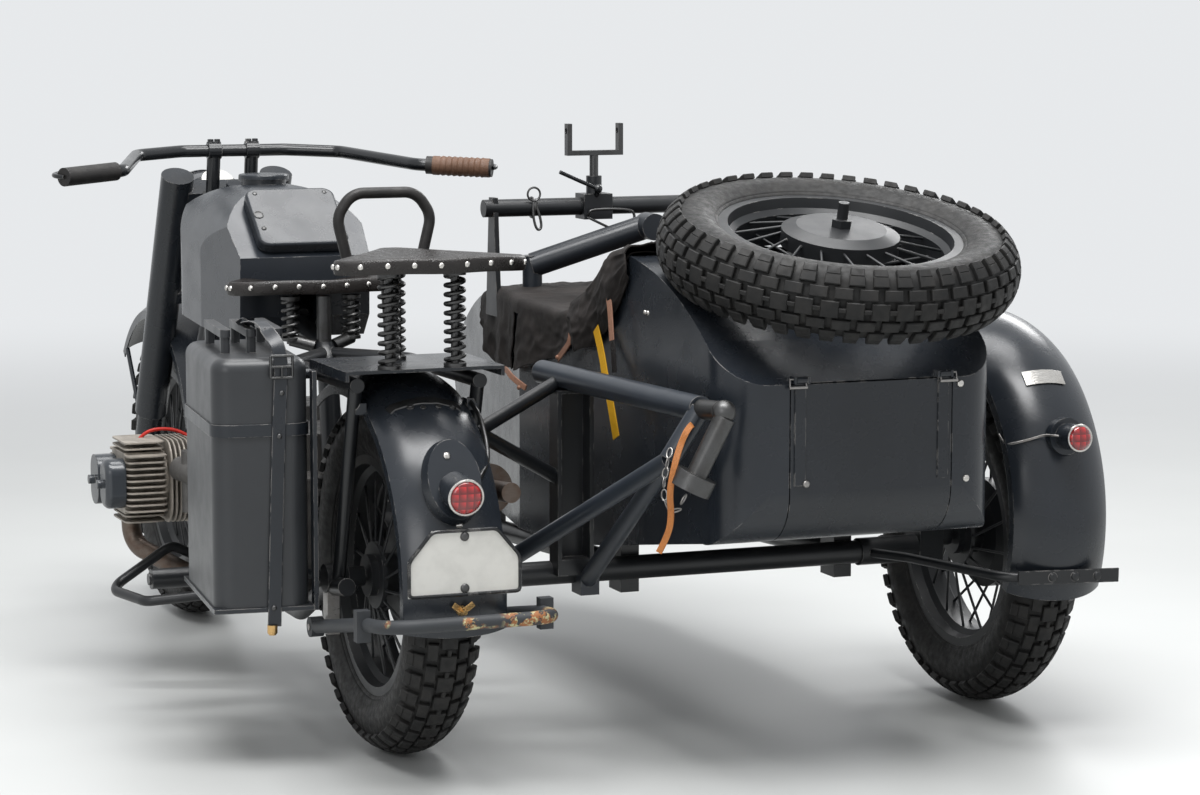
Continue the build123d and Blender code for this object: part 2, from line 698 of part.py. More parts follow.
with BuildPart() as mudguard_carrier:
    bent([(940, cross_y, cross_z), (990, -70, cross_z), (1060, -330, 300), (1275, -345, 296)], 9, 50)
    add(guard_seat.part, mode=Mode.SUBTRACT)
    add(sidecar_mudguard.part, mode=Mode.SUBTRACT)
    add(sidecar_frame.part, mode=Mode.SUBTRACT)

with BuildPart() as sidecar_lamp:
    bar((track, -311, 552), (track, -376, 556), 24)
    bar((track, -311, 552), (track, -330, 553), 34)
    add(guard_seat.part, mode=Mode.SUBTRACT)
    add(sidecar_mudguard.part, mode=Mode.SUBTRACT)

spare_plane = Plane(Location(spare_hub, (spare_tilt, 0, 0)))
with BuildPart() as spare_stud:
    with BuildSketch(spare_plane.offset(-110)):
        Circle(axle_r - 0.2)
    extrude(amount=206)
    with BuildSketch(spare_plane.offset(-110)):
        Circle(64)
    extrude(amount=110 - hub_x)
    with BuildSketch(spare_plane.offset(hub_x)):
        RegularPolygon(19, 6)
    extrude(amount=14)
    add(body_skin.part, mode=Mode.SUBTRACT)

with BuildPart() as front_rail:
    bar((body_x - body_w / 2 + 10.5, rail_y, rail_z), (body_x + body_w / 2 - 10.5, rail_y, rail_z), rail_r)
    for x in (body_x - body_w / 2 + 32.5, body_x + body_w / 2 - 38.5):
        with BuildSketch(Plane.YZ.offset(x - 5)):
            with BuildLine():
                Polyline((rail_y - 14, rail_z + 22), (rail_y + 14, rail_z + 22), (rail_y + 34, 700), (rail_y - 34, 700),
                         close=True)
            make_face()
        extrude(amount=10)
    add(body_skin.part, mode=Mode.SUBTRACT)

with BuildPart() as yoke_clamp:
    block((yoke_x - 31, yoke_x + 31), (rail_y - 26, rail_y + 26), (rail_z - 26, rail_z + 26))
    bar((yoke_x, rail_y, rail_z + 26), (yoke_x, rail_y, rail_z + 62), 16)
    bar((yoke_x, rail_y, rail_z + 26), (yoke_x, rail_y, rail_z + 62), 9 + bore_clearance, mode=Mode.SUBTRACT)
    add(front_rail.part, mode=Mode.SUBTRACT)

with BuildPart() as yoke:
    bar((yoke_x, rail_y, rail_z + 28), (yoke_x, rail_y, rail_z + 106), 9)
    block((yoke_x - 61, yoke_x + 61), (rail_y - 9, rail_y + 9), (rail_z + 104, rail_z + 114))
    for side in (-1, 1):
        block((yoke_x + side * 51, yoke_x + side * 61), (rail_y - 9, rail_y + 9), (rail_z + 104, rail_z + 169))
    bar((yoke_x - 80, rail_y, rail_z + 154), (yoke_x + 80, rail_y, rail_z + 154), yoke_pin_r, mode=Mode.SUBTRACT)

with BuildPart() as swivel_arm:
    bar((arm_x, arm_y, 806), (arm_x + 215, 600, 886), 25)
    bar((arm_x + 215, 610, 886), (arm_x + 215, 560, 886), 27)
    bar((arm_x, arm_y, 762), (arm_x, arm_y, 826), 20)
    bar((arm_x, arm_y, 760), (arm_x, arm_y, 810), 9 + bore_clearance, mode=Mode.SUBTRACT)

with BuildPart() as arm_post:
    bar((arm_x, arm_y, 700), (arm_x, arm_y, 808), 9)
    bar((arm_x, arm_y, 700), (arm_x, arm_y, 756), 24)
    add(body_skin.part, mode=Mode.SUBTRACT)

wheel_turn = Location((0, 0, 0), (0, 90, 0))
front_place = Location(front_hub) * wheel_turn
rear_place = Location(rear_hub) * wheel_turn
side_place = Location(side_hub) * wheel_turn
spare_place = Location(spare_hub, (spare_tilt, 0, 0))

pieces = {
    "frame": frame.part,
    "engine_case": engine_case.part,
    "left_cylinder": left_cylinder.part,
    "right_cylinder": right_cylinder.part,
    "valve_covers": valve_covers.part,
    "carburettors": carburettors.part,
    "exhaust": exhaust.part,
    "axle_drive": axle_drive.part,
    "foot_gear": foot_gear.part,
    "fuel_tank": fuel_tank.part,
    "filler_cap": filler_cap.part,
    "toolbox_lid": toolbox_lid.part,
    "front_saddle": front_saddle.part,
    "rear_saddle": rear_saddle.part,
    "saddle_springs": saddle_springs.part,
    "hoop_handle": hoop_handle.part,
    "rear_mudguard": rear_mudguard.part,
    "rack_plate": rack_plate.part,
    "tail_lamp": tail_lamp.part,
    "number_plate": number_plate.part,
    "stand_pins": stand_pins.part,
    "rear_stand": rear_stand.part,
    "fuel_can": fuel_can.part,
    "can_rack": can_rack.part,
    "can_straps": can_straps.part,
    "fork_legs": fork_legs.part,
    "handlebar": handlebar.part,
    "grips": grips.part,
    "head_lamp": head_lamp.part,
    "front_mudguard": front_mudguard.part,
    "front_wheel": wheel.part.moved(front_place),
    "front_tyre": tyre.part.moved(front_place),
    "rear_wheel": wheel.part.moved(rear_place),
    "rear_tyre": tyre.part.moved(rear_place),
    "sidecar_frame": sidecar_frame.part,
    "tow_frame": tow_frame.part,
    "tow_coupling": tow_coupling.part,
    "sidecar_body": sidecar_body.part,
    "trunk_lid": trunk_lid.part,
    "sidecar_seat": sidecar_seat.part,
    "canvas_cover": canvas_cover.part,
    "sidecar_mudguard": sidecar_mudguard.part,
    "mudguard_carrier": mudguard_carrier.part,
    "sidecar_lamp": sidecar_lamp.part,
    "sidecar_wheel": wheel.part.moved(side_place),
    "sidecar_tyre": tyre.part.moved(side_place),
    "spare_stud": spare_stud.part,
    "spare_wheel": wheel.part.moved(spare_place),
    "spare_tyre": tyre.part.moved(spare_place),
    "front_rail": front_rail.part,
    "yoke_clamp": yoke_clamp.part,
    "yoke": yoke.part,
    "arm_post": arm_post.part,
    "swivel_arm": swivel_arm.part,
}

row_place = Location((machine_x, rear_axle_y, 0))
for label, piece in pieces.items():
    placed = piece.moved(row_place)
    placed.label = label
    export_step(placed, f"parts/{label}.step")
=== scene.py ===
import math

import bmesh
import bpy
from bpy.props import FloatProperty, FloatVectorProperty, IntProperty, PointerProperty
from mathutils import Matrix, Vector, noise


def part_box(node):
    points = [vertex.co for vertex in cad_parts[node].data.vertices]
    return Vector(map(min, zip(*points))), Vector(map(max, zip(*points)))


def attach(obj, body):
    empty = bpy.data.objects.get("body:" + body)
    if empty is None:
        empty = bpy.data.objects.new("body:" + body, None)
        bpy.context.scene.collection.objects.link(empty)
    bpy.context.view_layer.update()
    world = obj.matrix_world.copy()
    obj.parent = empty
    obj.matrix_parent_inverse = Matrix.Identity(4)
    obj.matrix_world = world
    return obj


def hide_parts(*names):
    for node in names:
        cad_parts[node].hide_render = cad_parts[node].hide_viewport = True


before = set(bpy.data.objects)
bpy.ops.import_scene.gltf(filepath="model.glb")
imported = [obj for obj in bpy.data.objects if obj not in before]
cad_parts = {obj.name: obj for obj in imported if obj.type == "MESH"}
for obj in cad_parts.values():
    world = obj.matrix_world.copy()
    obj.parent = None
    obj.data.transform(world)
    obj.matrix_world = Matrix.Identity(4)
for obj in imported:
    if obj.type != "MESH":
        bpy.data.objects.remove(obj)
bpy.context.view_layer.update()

bl_info = {
    "name": "Sidecar motorcycle",
    "version": (1, 0, 0),
    "blender": (4, 5, 0),
    "location": "View3D > Sidebar > Sidecar",
    "description": "Finishes, tyres, saddles, canvas and small fittings of a motorcycle with a sidecar",
    "category": "Object",
}


def middle_of(node):
    """Middle of a node's box, in metres."""
    low, high = (Vector(corner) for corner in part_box(node))
    return (low + high) / 2


# Places are in millimetres from the spot where the rear wheel stands, as in the part's own drawing.
# Radii, widths, heights and thicknesses are in metres.
REAR_WHEEL = middle_of("rear_tyre")
ORIGIN_X = round(REAR_WHEEL.x * 1000, 3)
ORIGIN_Y = round(REAR_WHEEL.y * 1000, 3)
UP = (0, 0, 1)
REARWARD = (0, -1, 0)


def at(x, y, z):
    """Place of the drawing as a point of the frame."""
    return Vector(((x + ORIGIN_X) / 1000, (y + ORIGIN_Y) / 1000, z / 1000))


def drawn_x(node):
    """Middle of a node across the machine and half its width, in millimetres of the drawing."""
    low, high = (corner[0] * 1000 - ORIGIN_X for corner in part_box(node))
    return round((low + high) / 2, 3), round((high - low) / 2, 3)


def spread(low, high, count):
    """Even steps from low to high, both included."""
    return [low + (high - low) * i / (count - 1) for i in range(count)]


def colour_setting(name, description, default):
    return FloatVectorProperty(name=name, description=description, default=default, size=3, subtype="COLOR",
                               min=0, max=1)


class PaintColours(bpy.types.PropertyGroup):
    """Colours of the paints, cloths and metals."""
    body_grey: colour_setting("Body grey", "Satin paint of the sheet metal", (0.0145, 0.018, 0.0235))
    frame_black: colour_setting("Frame black", "Paint of the tubes and wheels", (0.008, 0.009, 0.0105))
    can_grey: colour_setting("Can grey", "Paint of the fuel can", (0.026, 0.028, 0.031))
    worn_edge: colour_setting("Worn edge", "Metal that shows where paint has rubbed off", (0.23, 0.22, 0.21))
    dust: colour_setting("Dust", "Dust that lies on upper faces", (0.21, 0.19, 0.17))
    cast_metal: colour_setting("Cast metal", "Bare castings of the cylinders", (0.42, 0.38, 0.33))
    leather: colour_setting("Leather", "Saddle leather", (0.012, 0.0095, 0.0085))
    canvas: colour_setting("Canvas", "Cockpit cover", (0.016, 0.0135, 0.0125))
    rubber: colour_setting("Rubber", "Tyre rubber in the grooves and on the walls", (0.012, 0.012, 0.012))
    tread: colour_setting("Tread", "Dry, dusty tops of the tread blocks", (0.05, 0.046, 0.043))
    strap: colour_setting("Strap", "Tan leather straps", (0.27, 0.135, 0.085))


class TyreSizes(bpy.types.PropertyGroup):
    """Sizes of the tyre and its tread."""
    crown_r: FloatProperty(name="Radius", description="Radius over the tread, the height of a wheel's middle",
                           default=REAR_WHEEL.z, unit="LENGTH")
    arc_r: FloatProperty(name="Tread curve", description="Radius of the tread from side to side",
                         default=0.0829, unit="LENGTH")
    groove: FloatProperty(name="Groove depth", description="Height of a tread block",
                          default=0.0085, unit="LENGTH")
    blocks: IntProperty(name="Blocks", description="Tread blocks in each row", default=46, min=12, max=80)


class StudioSettings(bpy.types.PropertyGroup):
    """Light and floor."""
    floor: colour_setting("Floor", "Colour of the floor", (0.62, 0.63, 0.62))
    key: FloatProperty(name="Key", description="Power of the large lamp overhead",
                       default=205.0, unit="POWER")
    fill: FloatProperty(name="Fill", description="Power of the lamp beside the camera",
                        default=46.0, unit="POWER")
    sky: FloatProperty(name="Sky", description="Strength of the light from all round", default=0.4)


# finishes


def add_node(tree, kind, values=None, **settings):
    """New node with its settings, and its inputs filled or joined."""
    node = tree.nodes.new("ShaderNode" + kind)
    for key, value in settings.items():
        setattr(node, key, value)
    for key, value in (values or {}).items():
        if isinstance(value, bpy.types.NodeSocket):
            tree.links.new(value, node.inputs[key])
        else:
            node.inputs[key].default_value = value
    return node


def shade(colour, factor, lift=0.0):
    """Colour made paler or darker."""
    return tuple(min(1, c * factor + lift) for c in colour)


finishes = {}


class Finish:
    """A material under way: its nodes, its shader and the place of each point on the piece."""

    def __init__(self, name, rough=0.5, metal=0.0, specular=0.5):
        finishes[name] = bpy.data.materials.new(name)
        finishes[name].use_nodes = True
        self.tree = finishes[name].node_tree
        self.tree.nodes.clear()
        self.shader = self.add("BsdfPrincipled", {"Roughness": rough, "Metallic": metal,
                                                  "Specular IOR Level": specular})
        self.output = self.add("OutputMaterial", {0: self.shader.outputs[0]})
        self.place = self.add("TexCoord").outputs["Object"]

    def add(self, kind, values=None, **settings):
        return add_node(self.tree, kind, values, **settings)

    def cloud(self, scale, detail=3.0, rough=0.55, place=None):
        """Noise value at a scale of features to the metre."""
        place = self.place if place is None else place
        return self.add("TexNoise", {"Vector": place, "Scale": scale, "Detail": detail,
                                     "Roughness": rough}).outputs[0]

    def ramp(self, value, low, high, start=0.0, end=1.0):
        """Value stretched from low..high to start..end."""
        return self.add("MapRange", {0: value, 1: low, 2: high, 3: start, 4: end}).outputs[0]

    def patches(self, scale, low, high, start=0.0, end=1.0, detail=3.0, rough=0.55):
        """Noise stretched from low..high to start..end."""
        return self.ramp(self.cloud(scale, detail, rough), low, high, start, end)

    def mix(self, share, first, second):
        """Colour between two, by share."""
        first, second = (value if isinstance(value, bpy.types.NodeSocket) else (*value, 1)
                         for value in (first, second))
        return self.add("Mix", {0: share, 6: first, 7: second}, data_type="RGBA").outputs[2]

    def math(self, operation, first, second):
        return self.add("Math", {0: first, 1: second}, operation=operation).outputs[0]

    def times(self, first, second):
        return self.math("MULTIPLY", first, second)

    def mapped(self, **values):
        """Place turned or stretched."""
        return self.add("Mapping", {"Vector": self.place, **values}).outputs[0]

    def colour(self, value):
        self.tree.links.new(value, self.shader.inputs["Base Color"])

    def gloss(self, value):
        self.tree.links.new(value, self.shader.inputs["Roughness"])

    def bump(self, height, distance, strength=1.0, rounding=0.0):
        """Relief from a height value, over edges that catch light as if rounded."""
        values = {"Height": height, "Distance": distance, "Strength": strength}
        if rounding:
            values["Normal"] = self.add("Bevel", {"Radius": rounding}, samples=4).outputs[0]
        self.tree.links.new(self.add("Bump", values).outputs[0], self.shader.inputs["Normal"])

    def upper_faces(self):
        """1 where a surface looks up, 0 elsewhere."""
        normal = self.add("NewGeometry").outputs["Normal"]
        return self.ramp(self.add("SeparateXYZ", {0: normal}).outputs[2], 0.55, 1.0)

    def rubbed_edges(self, width, share):
        """1 in patches along edges, where paint has rubbed off."""
        rounded = self.add("Bevel", {"Radius": width}, samples=4).outputs[0]
        true = self.add("NewGeometry").outputs["Normal"]
        facing = self.add("VectorMath", {0: rounded, 1: true}, operation="DOT_PRODUCT").outputs["Value"]
        edge = self.ramp(facing, 0.985, 0.93)
        return self.times(edge, self.patches(38, 0.6 - share, 0.66 - share, detail=4))


def satin_paint(name, colour, rough=0.25, wear=0.1, dust=0.07, rounding=0.0015):
    """Brushed and sprayed satin paint: cloudy tone, dust above, rubbed edges, fine orange peel."""
    colours = bpy.context.scene.sidecar_colours
    paint = Finish(name)
    tone = paint.mix(paint.patches(7, 0.35, 0.7, 0.0, 0.55), colour, shade(colour, 1.28, 0.002))
    tone = paint.mix(paint.patches(210, 0.66, 0.78, 0.0, 0.35, 2), tone, shade(colour, 0.62))
    lying = paint.times(paint.upper_faces(), paint.patches(26, 0.4, 0.75, 0.0, dust, 5))
    tone = paint.mix(lying, tone, tuple(colours.dust))
    paint.colour(paint.mix(paint.rubbed_edges(0.0022, wear), tone, tuple(colours.worn_edge)))
    paint.gloss(paint.patches(16, 0.3, 0.75, rough - 0.04, rough + 0.07, 4))
    paint.bump(paint.cloud(620, 2), 0.0006, 0.12, rounding)


def cast_finish(name, colour, rough=0.55, metal=0.35, grime=0.6):
    """Sand-cast light metal, dull, with grime in patches."""
    cast = Finish(name, rough, metal)
    tone = cast.mix(cast.patches(30, 0.4, 0.7, 0.0, grime, 5), colour, shade(colour, 0.34))
    cast.colour(cast.mix(cast.patches(500, 0.35, 0.65, 0.0, 0.25, 2), tone, shade(colour, 0.6)))
    cast.gloss(cast.patches(60, 0.3, 0.7, rough - 0.12, rough + 0.15))
    cast.bump(cast.cloud(420, 3), 0.0012, 0.35, 0.001)


def metal_finish(name, colour, rough=0.3, tarnish=(0.12, 0.09, 0.07), share=0.4):
    """Bare or plated metal with tarnish and fine scratches."""
    metal = Finish(name, rough, 1.0)
    metal.colour(metal.mix(metal.patches(45, 0.45, 0.75, 0.0, share, 5), colour, tarnish))
    streaks = metal.cloud(60, place=metal.mapped(Scale=(1, 14, 14)))
    metal.gloss(metal.ramp(streaks, 0.3, 0.7, rough - 0.1, rough + 0.18))
    metal.bump(metal.cloud(300, 3), 0.0005, 0.2, 0.0008)


def rubber_finish(name, colour, dust=0.12, rough=0.6):
    """Old rubber, bloomed and dusty."""
    dust_colour = bpy.context.scene.sidecar_colours.dust
    rubber = Finish(name, rough, specular=0.3)
    tone = rubber.mix(rubber.patches(34, 0.38, 0.72, 0.0, dust, 5), colour, shade(dust_colour, 0.55))
    rubber.colour(rubber.mix(rubber.patches(700, 0.5, 0.72, 0.0, 0.3, 2), tone, shade(colour, 0.5)))
    rubber.gloss(rubber.patches(90, 0.3, 0.7, rough - 0.14, rough + 0.14))
    rubber.bump(rubber.cloud(900, 3), 0.0008, 0.35)


def leather_finish(name, colour, rough=0.38, grain=260.0, fade=1.9):
    """Leather with a cell grain, rubbed paler on the high places."""
    hide = Finish(name, rough, specular=0.45)
    cells = hide.add("TexVoronoi", {"Vector": hide.place, "Scale": grain}, feature="DISTANCE_TO_EDGE")
    cell_edge = cells.outputs["Distance"]
    tone = hide.mix(hide.patches(22, 0.45, 0.75, 0.0, 0.55, 5), colour, shade(colour, fade, 0.003))
    hide.colour(hide.mix(hide.ramp(cell_edge, 0.0, 0.12, 0.45, 0.0), tone, shade(colour, 0.4)))
    hide.gloss(hide.patches(70, 0.3, 0.7, rough - 0.1, rough + 0.16))
    hide.bump(hide.ramp(cell_edge, 0.0, 0.2), 0.0008, 0.4)


def woven_finish(name, colour, pitch=0.0011, rough=0.7, fade=2.8):
    """Plain weave: two crossing sets of threads, faded on the folds."""
    cloth = Finish(name, rough, specular=0.2)
    threads = [cloth.add("TexWave", {"Vector": cloth.mapped(Rotation=turn), "Scale": 0.314 / pitch,
                                     "Distortion": 1.2, "Detail": 1.0}).outputs[1]
               for turn in ((0, 0, 0.6), (0.5, 0.4, -0.8))]
    height = cloth.times(*threads)
    tone = cloth.mix(cloth.patches(11, 0.42, 0.74, 0.0, 0.85, 6, 0.65), colour, shade(colour, fade, 0.006))
    cloth.colour(cloth.mix(cloth.ramp(height, 0.0, 0.5, 0.35, 0.0), tone, shade(colour, 0.4)))
    cloth.bump(height, 0.0007, 0.5)


def lens_finish():
    """Red ribbed glass of the rear lamps, lit from within by what falls on it."""
    glass = Finish("red_lens", 0.12)
    ribs = [glass.add("TexWave", {"Vector": glass.mapped(Rotation=turn), "Scale": 24.0}, bands_direction="X",
                      wave_profile="SAW").outputs[1] for turn in ((0, 0, 0), (0, 1.5708, 0))]
    grid = glass.times(*ribs)
    # Painted light: each rib cell is painted from dark red to bright red, standing for light caught in the
    # ribbed glass.
    glass.colour(glass.mix(glass.ramp(grid, 0.05, 0.7), (0.16, 0.002, 0.004), (0.62, 0.01, 0.014)))
    glass.shader.inputs["Coat Weight"].default_value = 1.0
    glass.shader.inputs["Coat Roughness"].default_value = 0.05
    glass.bump(grid, 0.002, 0.8)


def plate_finish():
    """White enamel with grey handling marks."""
    enamel = Finish("plate_white", 0.35)
    marks = enamel.patches(24, 0.45, 0.75, 0.0, 0.35, 6)
    enamel.colour(enamel.mix(marks, (0.72, 0.71, 0.67), (0.42, 0.41, 0.38)))
    enamel.bump(enamel.cloud(300), 0.0004, 0.15)


def flaked_finish():
    """Old pale green and rust where the stand's paint has flaked, most of it at the right end."""
    stand = Finish("flaked_paint", 0.6)
    along = stand.add("SeparateXYZ", {0: stand.place}).outputs
    behind = stand.ramp(along[1], -0.93, -0.96)
    at_end = stand.ramp(along[0], -0.375, -0.355)
    zone = stand.times(behind, stand.math("MAXIMUM", at_end, stand.patches(13, 0.64, 0.68, detail=1)))
    flakes = stand.times(stand.patches(55, 0.47, 0.5, detail=6, rough=0.7), zone)
    layers = stand.mix(stand.patches(120, 0.45, 0.5, detail=4), (0.5, 0.47, 0.26), (0.31, 0.12, 0.04))
    stand.colour(stand.mix(flakes, (0.03, 0.033, 0.037), layers))
    stand.bump(flakes, 0.0008, 0.5, 0.001)


def make_finishes():
    colours = bpy.context.scene.sidecar_colours
    grey = tuple(colours.body_grey)
    black = tuple(colours.frame_black)
    satin_paint("body_grey", grey)
    satin_paint("lid_grey", shade(grey, 0.8), 0.26)
    satin_paint("frame_grey", shade(grey, 0.8), 0.3, 0.16)
    satin_paint("tube_grey", shade(grey, 1.5), 0.32, 0.14)
    satin_paint("can_grey", tuple(colours.can_grey), 0.36, 0.08, 0.14)
    satin_paint("frame_black", black, 0.34, 0.08, 0.12)
    satin_paint("wheel_black", black, 0.42, 0.02, 0.05, 0.001)
    satin_paint("gloss_black", black, 0.2, 0.06, 0.06)
    satin_paint("cover_paint", (0.04, 0.045, 0.052), 0.2, 0.1, 0.06, 0.004)
    cast_finish("cast_bare", tuple(colours.cast_metal))
    cast_finish("cast_grey", (0.12, 0.115, 0.11), 0.5, 0.3, 0.7)
    metal_finish("bare_steel", (0.3, 0.29, 0.28), 0.34)
    metal_finish("dark_steel", (0.1, 0.1, 0.1), 0.36, (0.05, 0.045, 0.04), 0.5)
    metal_finish("bright_steel", (0.62, 0.6, 0.57), 0.22, (0.3, 0.27, 0.23), 0.3)
    metal_finish("burnt_steel", (0.16, 0.13, 0.11), 0.45, (0.1, 0.05, 0.03), 0.7)
    metal_finish("brass", (0.62, 0.4, 0.17), 0.3, (0.25, 0.15, 0.08), 0.5)
    rubber_finish("tyre_rubber", tuple(colours.rubber))
    rubber_finish("tread_rubber", tuple(colours.tread), 0.22, 0.66)
    rubber_finish("grip_rubber", (0.016, 0.015, 0.015), 0.15, 0.45)
    rubber_finish("red_cable", (0.5, 0.02, 0.012), 0.1, 0.4)
    leather_finish("worn_grip", (0.12, 0.06, 0.034), 0.5, 320, 1.5)
    leather_finish("leather", tuple(colours.leather), 0.3)
    leather_finish("pale_leather", tuple(colours.strap), 0.6, 300, 1.25)
    leather_finish("orange_leather", (0.42, 0.15, 0.035), 0.6, 300, 1.2)
    woven_finish("canvas", tuple(colours.canvas))
    woven_finish("yellow_webbing", (0.62, 0.33, 0.015), 0.0016, 0.75, 1.1)
    lens_finish()
    plate_finish()
    flaked_finish()


NODES_OF_FINISH = {
    "body_grey": ("fuel_tank", "filler_cap", "rear_mudguard", "tail_lamp", "sidecar_body", "sidecar_mudguard",
                  "sidecar_lamp"),
    "lid_grey": ("toolbox_lid", "rack_plate", "fork_legs", "head_lamp", "front_mudguard", "trunk_lid"),
    "frame_grey": ("can_straps", "arm_post", "can_rack", "swivel_arm"),
    "tube_grey": ("tow_frame",),
    "can_grey": ("fuel_can",),
    "frame_black": ("frame", "yoke_clamp", "axle_drive", "foot_gear", "sidecar_frame", "mudguard_carrier",
                    "front_rail"),
    "wheel_black": ("front_wheel", "rear_wheel", "sidecar_wheel", "spare_wheel", "spare_stud"),
    "gloss_black": ("handlebar",),
    "cover_paint": ("valve_covers",),
    "cast_bare": ("left_cylinder", "right_cylinder"),
    "cast_grey": ("engine_case", "carburettors"),
    "bare_steel": ("stand_pins", "saddle_springs"),
    "dark_steel": ("tow_coupling", "yoke"),
    "burnt_steel": ("exhaust",),
    "flaked_paint": ("rear_stand",),
    "plate_white": ("number_plate",),
    "tyre_rubber": ("front_tyre", "rear_tyre", "sidecar_tyre", "spare_tyre"),
    "grip_rubber": ("hoop_handle", "grips"),
    "leather": ("front_saddle", "rear_saddle", "sidecar_seat"),
    "canvas": ("canvas_cover",),
}


def use_finish(piece, *names):
    piece.data.materials.clear()
    for name in names:
        piece.data.materials.append(finishes[name])


# mesh tools


def make_piece(name, mesh, body, *finish_names, smooth=40):
    """Object from a bmesh, riding on a body, with edges kept sharp over an angle of smooth degrees."""
    data = bpy.data.meshes.new(name)
    bmesh.ops.recalc_face_normals(mesh, faces=mesh.faces)
    mesh.to_mesh(data)
    mesh.free()
    piece = bpy.data.objects.new(name, data)
    bpy.context.scene.collection.objects.link(piece)
    use_finish(piece, *finish_names)
    data.shade_smooth()
    data.set_sharp_from_angle(angle=math.radians(smooth))
    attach(piece, body)
    return piece


def circle(radius, height, steps, x_axis=Vector((1, 0, 0)), y_axis=Vector((0, 1, 0))):
    """Points round the local Z."""
    lift = Vector((0, 0, height))
    angles = [math.tau * s / steps for s in range(steps)]
    return [(x_axis * math.cos(a) + y_axis * math.sin(a)) * radius + lift for a in angles]


def join_rings(mesh, rings, slot=0, closed=False, capped=False):
    """Faces between neighbouring rings of vertices. A ring may be a single vertex."""
    for first, second in zip(rings, rings[1:] + rings[:1] if closed else rings[1:]):
        count = max(len(first), len(second))
        for s in range(count):
            t = (s + 1) % count
            corners = [first[s % len(first)], first[t % len(first)]]
            corners += [second[t % len(second)], second[s % len(second)]]
            mesh.faces.new(list(dict.fromkeys(corners))).material_index = slot
    if capped:
        mesh.faces.new(rings[0]).material_index = slot
        mesh.faces.new(rings[-1][::-1]).material_index = slot


def turned_solid(mesh, place, profile, steps=24, slot=0):
    """Body of revolution about the local Z of place, from an open profile of (radius, height) in metres."""
    rings = []
    for radius, height in profile:
        on_axis = radius < 1e-6
        points = circle(0 if on_axis else radius, height, 1 if on_axis else steps)
        rings.append([mesh.verts.new(place @ point) for point in points])
    join_rings(mesh, rings, slot)


def frame_at(point, direction):
    """Matrix at point with its Z along direction."""
    z = Vector(direction).normalized()
    x = Vector(UP).cross(z)
    if x.length < 1e-4:
        x = Vector((1, 0, 0)).cross(z)
    x.normalize()
    matrix = Matrix((x, z.cross(x), z)).transposed().to_4x4()
    matrix.translation = point
    return matrix


def round_rivet(mesh, spot, direction, radius, height=None, slot=0, steps=12):
    """Domed rivet head on a spot of the drawing."""
    height = radius * 0.55 if height is None else height
    turned_solid(mesh, frame_at(at(*spot), direction),
                 [(radius, -0.0012), (radius, height * 0.2), (radius * 0.82, height * 0.66),
                  (radius * 0.45, height * 0.94), (0, height)], steps, slot)


def hex_bolt(mesh, spot, direction, width, height):
    """Six-sided head with a chamfered top over a washer."""
    place = frame_at(at(*spot), direction)
    r = width / 2
    washer = 0.0014
    turned_solid(mesh, place, [(r * 1.25, -0.001), (r * 1.25, 0.0012), (r * 1.2, washer), (0, washer)], 16)
    turned_solid(mesh, place, [(r, washer), (r, height * 0.85), (r * 0.86, height), (0, height)], 6)


def sweep_tube(mesh, points, radius, sides=10, slot=0, close=False):
    """Round tube through points in metres, with flat ends."""
    count = len(points)
    rings = []
    normal = None
    for i, point in enumerate(points):
        ahead = points[(i + 1) % count] if close or i + 1 < count else point
        behind = points[i - 1] if close or i else point
        tangent = (ahead - behind).normalized()
        if normal is None:
            normal = tangent.orthogonal().normalized()
        normal = (normal - tangent * normal.dot(tangent)).normalized()
        spokes = circle(radius, 0, sides, normal, tangent.cross(normal))
        rings.append([mesh.verts.new(point + spoke) for spoke in spokes])
    join_rings(mesh, rings, slot, close, not close)


def rod(mesh, start, end, radius, sides=8, slot=0):
    """Straight round bar between two places of the drawing."""
    sweep_tube(mesh, [at(*start), at(*end)], radius, sides, slot)


def smooth_line(points, resolution=8):
    """Points in metres along a NURBS line that has these places of the drawing as its control points."""
    data = bpy.data.curves.new("line", "CURVE")
    data.dimensions = "3D"
    line = data.splines.new("NURBS")
    line.points.add(len(points) - 1)
    for target, point in zip(line.points, points):
        target.co = (*at(*point), 1)
    line.order_u = 3
    line.use_endpoint_u = True
    line.resolution_u = resolution
    helper = bpy.data.objects.new("line", data)
    read = bpy.data.meshes.new_from_object(helper)
    found = [vertex.co.copy() for vertex in read.vertices]
    bpy.data.objects.remove(helper)
    bpy.data.meshes.remove(read)
    return found


def ribbon(mesh, points, normals, width, thickness, slot=0):
    """Flat strap through points in metres, its face turned to one normal or to one for each point."""
    rings = []
    for i, point in enumerate(points):
        tangent = (points[min(i + 1, len(points) - 1)] - points[max(i - 1, 0)]).normalized()
        normal = Vector(normals[i] if isinstance(normals, list) else normals)
        normal = (normal - tangent * normal.dot(tangent)).normalized()
        side = tangent.cross(normal) * width / 2
        lift = normal * thickness / 2
        bevel = side.normalized() * thickness * 0.3
        rings.append([mesh.verts.new(point + offset) for offset in
                      (-side + lift * 0.3, -side + bevel + lift, side - bevel + lift, side + lift * 0.3,
                       side - lift * 0.3, side - bevel - lift, -side + bevel - lift, -side - lift * 0.3)])
    join_rings(mesh, rings, slot, capped=True)


def tube_piece(name, points, radius, body, finish, sides=10):
    """Round line that has these places of the drawing as its control points."""
    mesh = bmesh.new()
    sweep_tube(mesh, smooth_line(points), radius, sides)
    make_piece(name, mesh, body, finish)


def ring(mesh, centre, direction, radius, thick, slot=0, steps=48):
    """Round wire bent to a ring about a place of the drawing."""
    place = frame_at(at(*centre), direction)
    sweep_tube(mesh, [place @ point for point in circle(radius, 0, steps)], thick, 8, slot, close=True)


# wheels

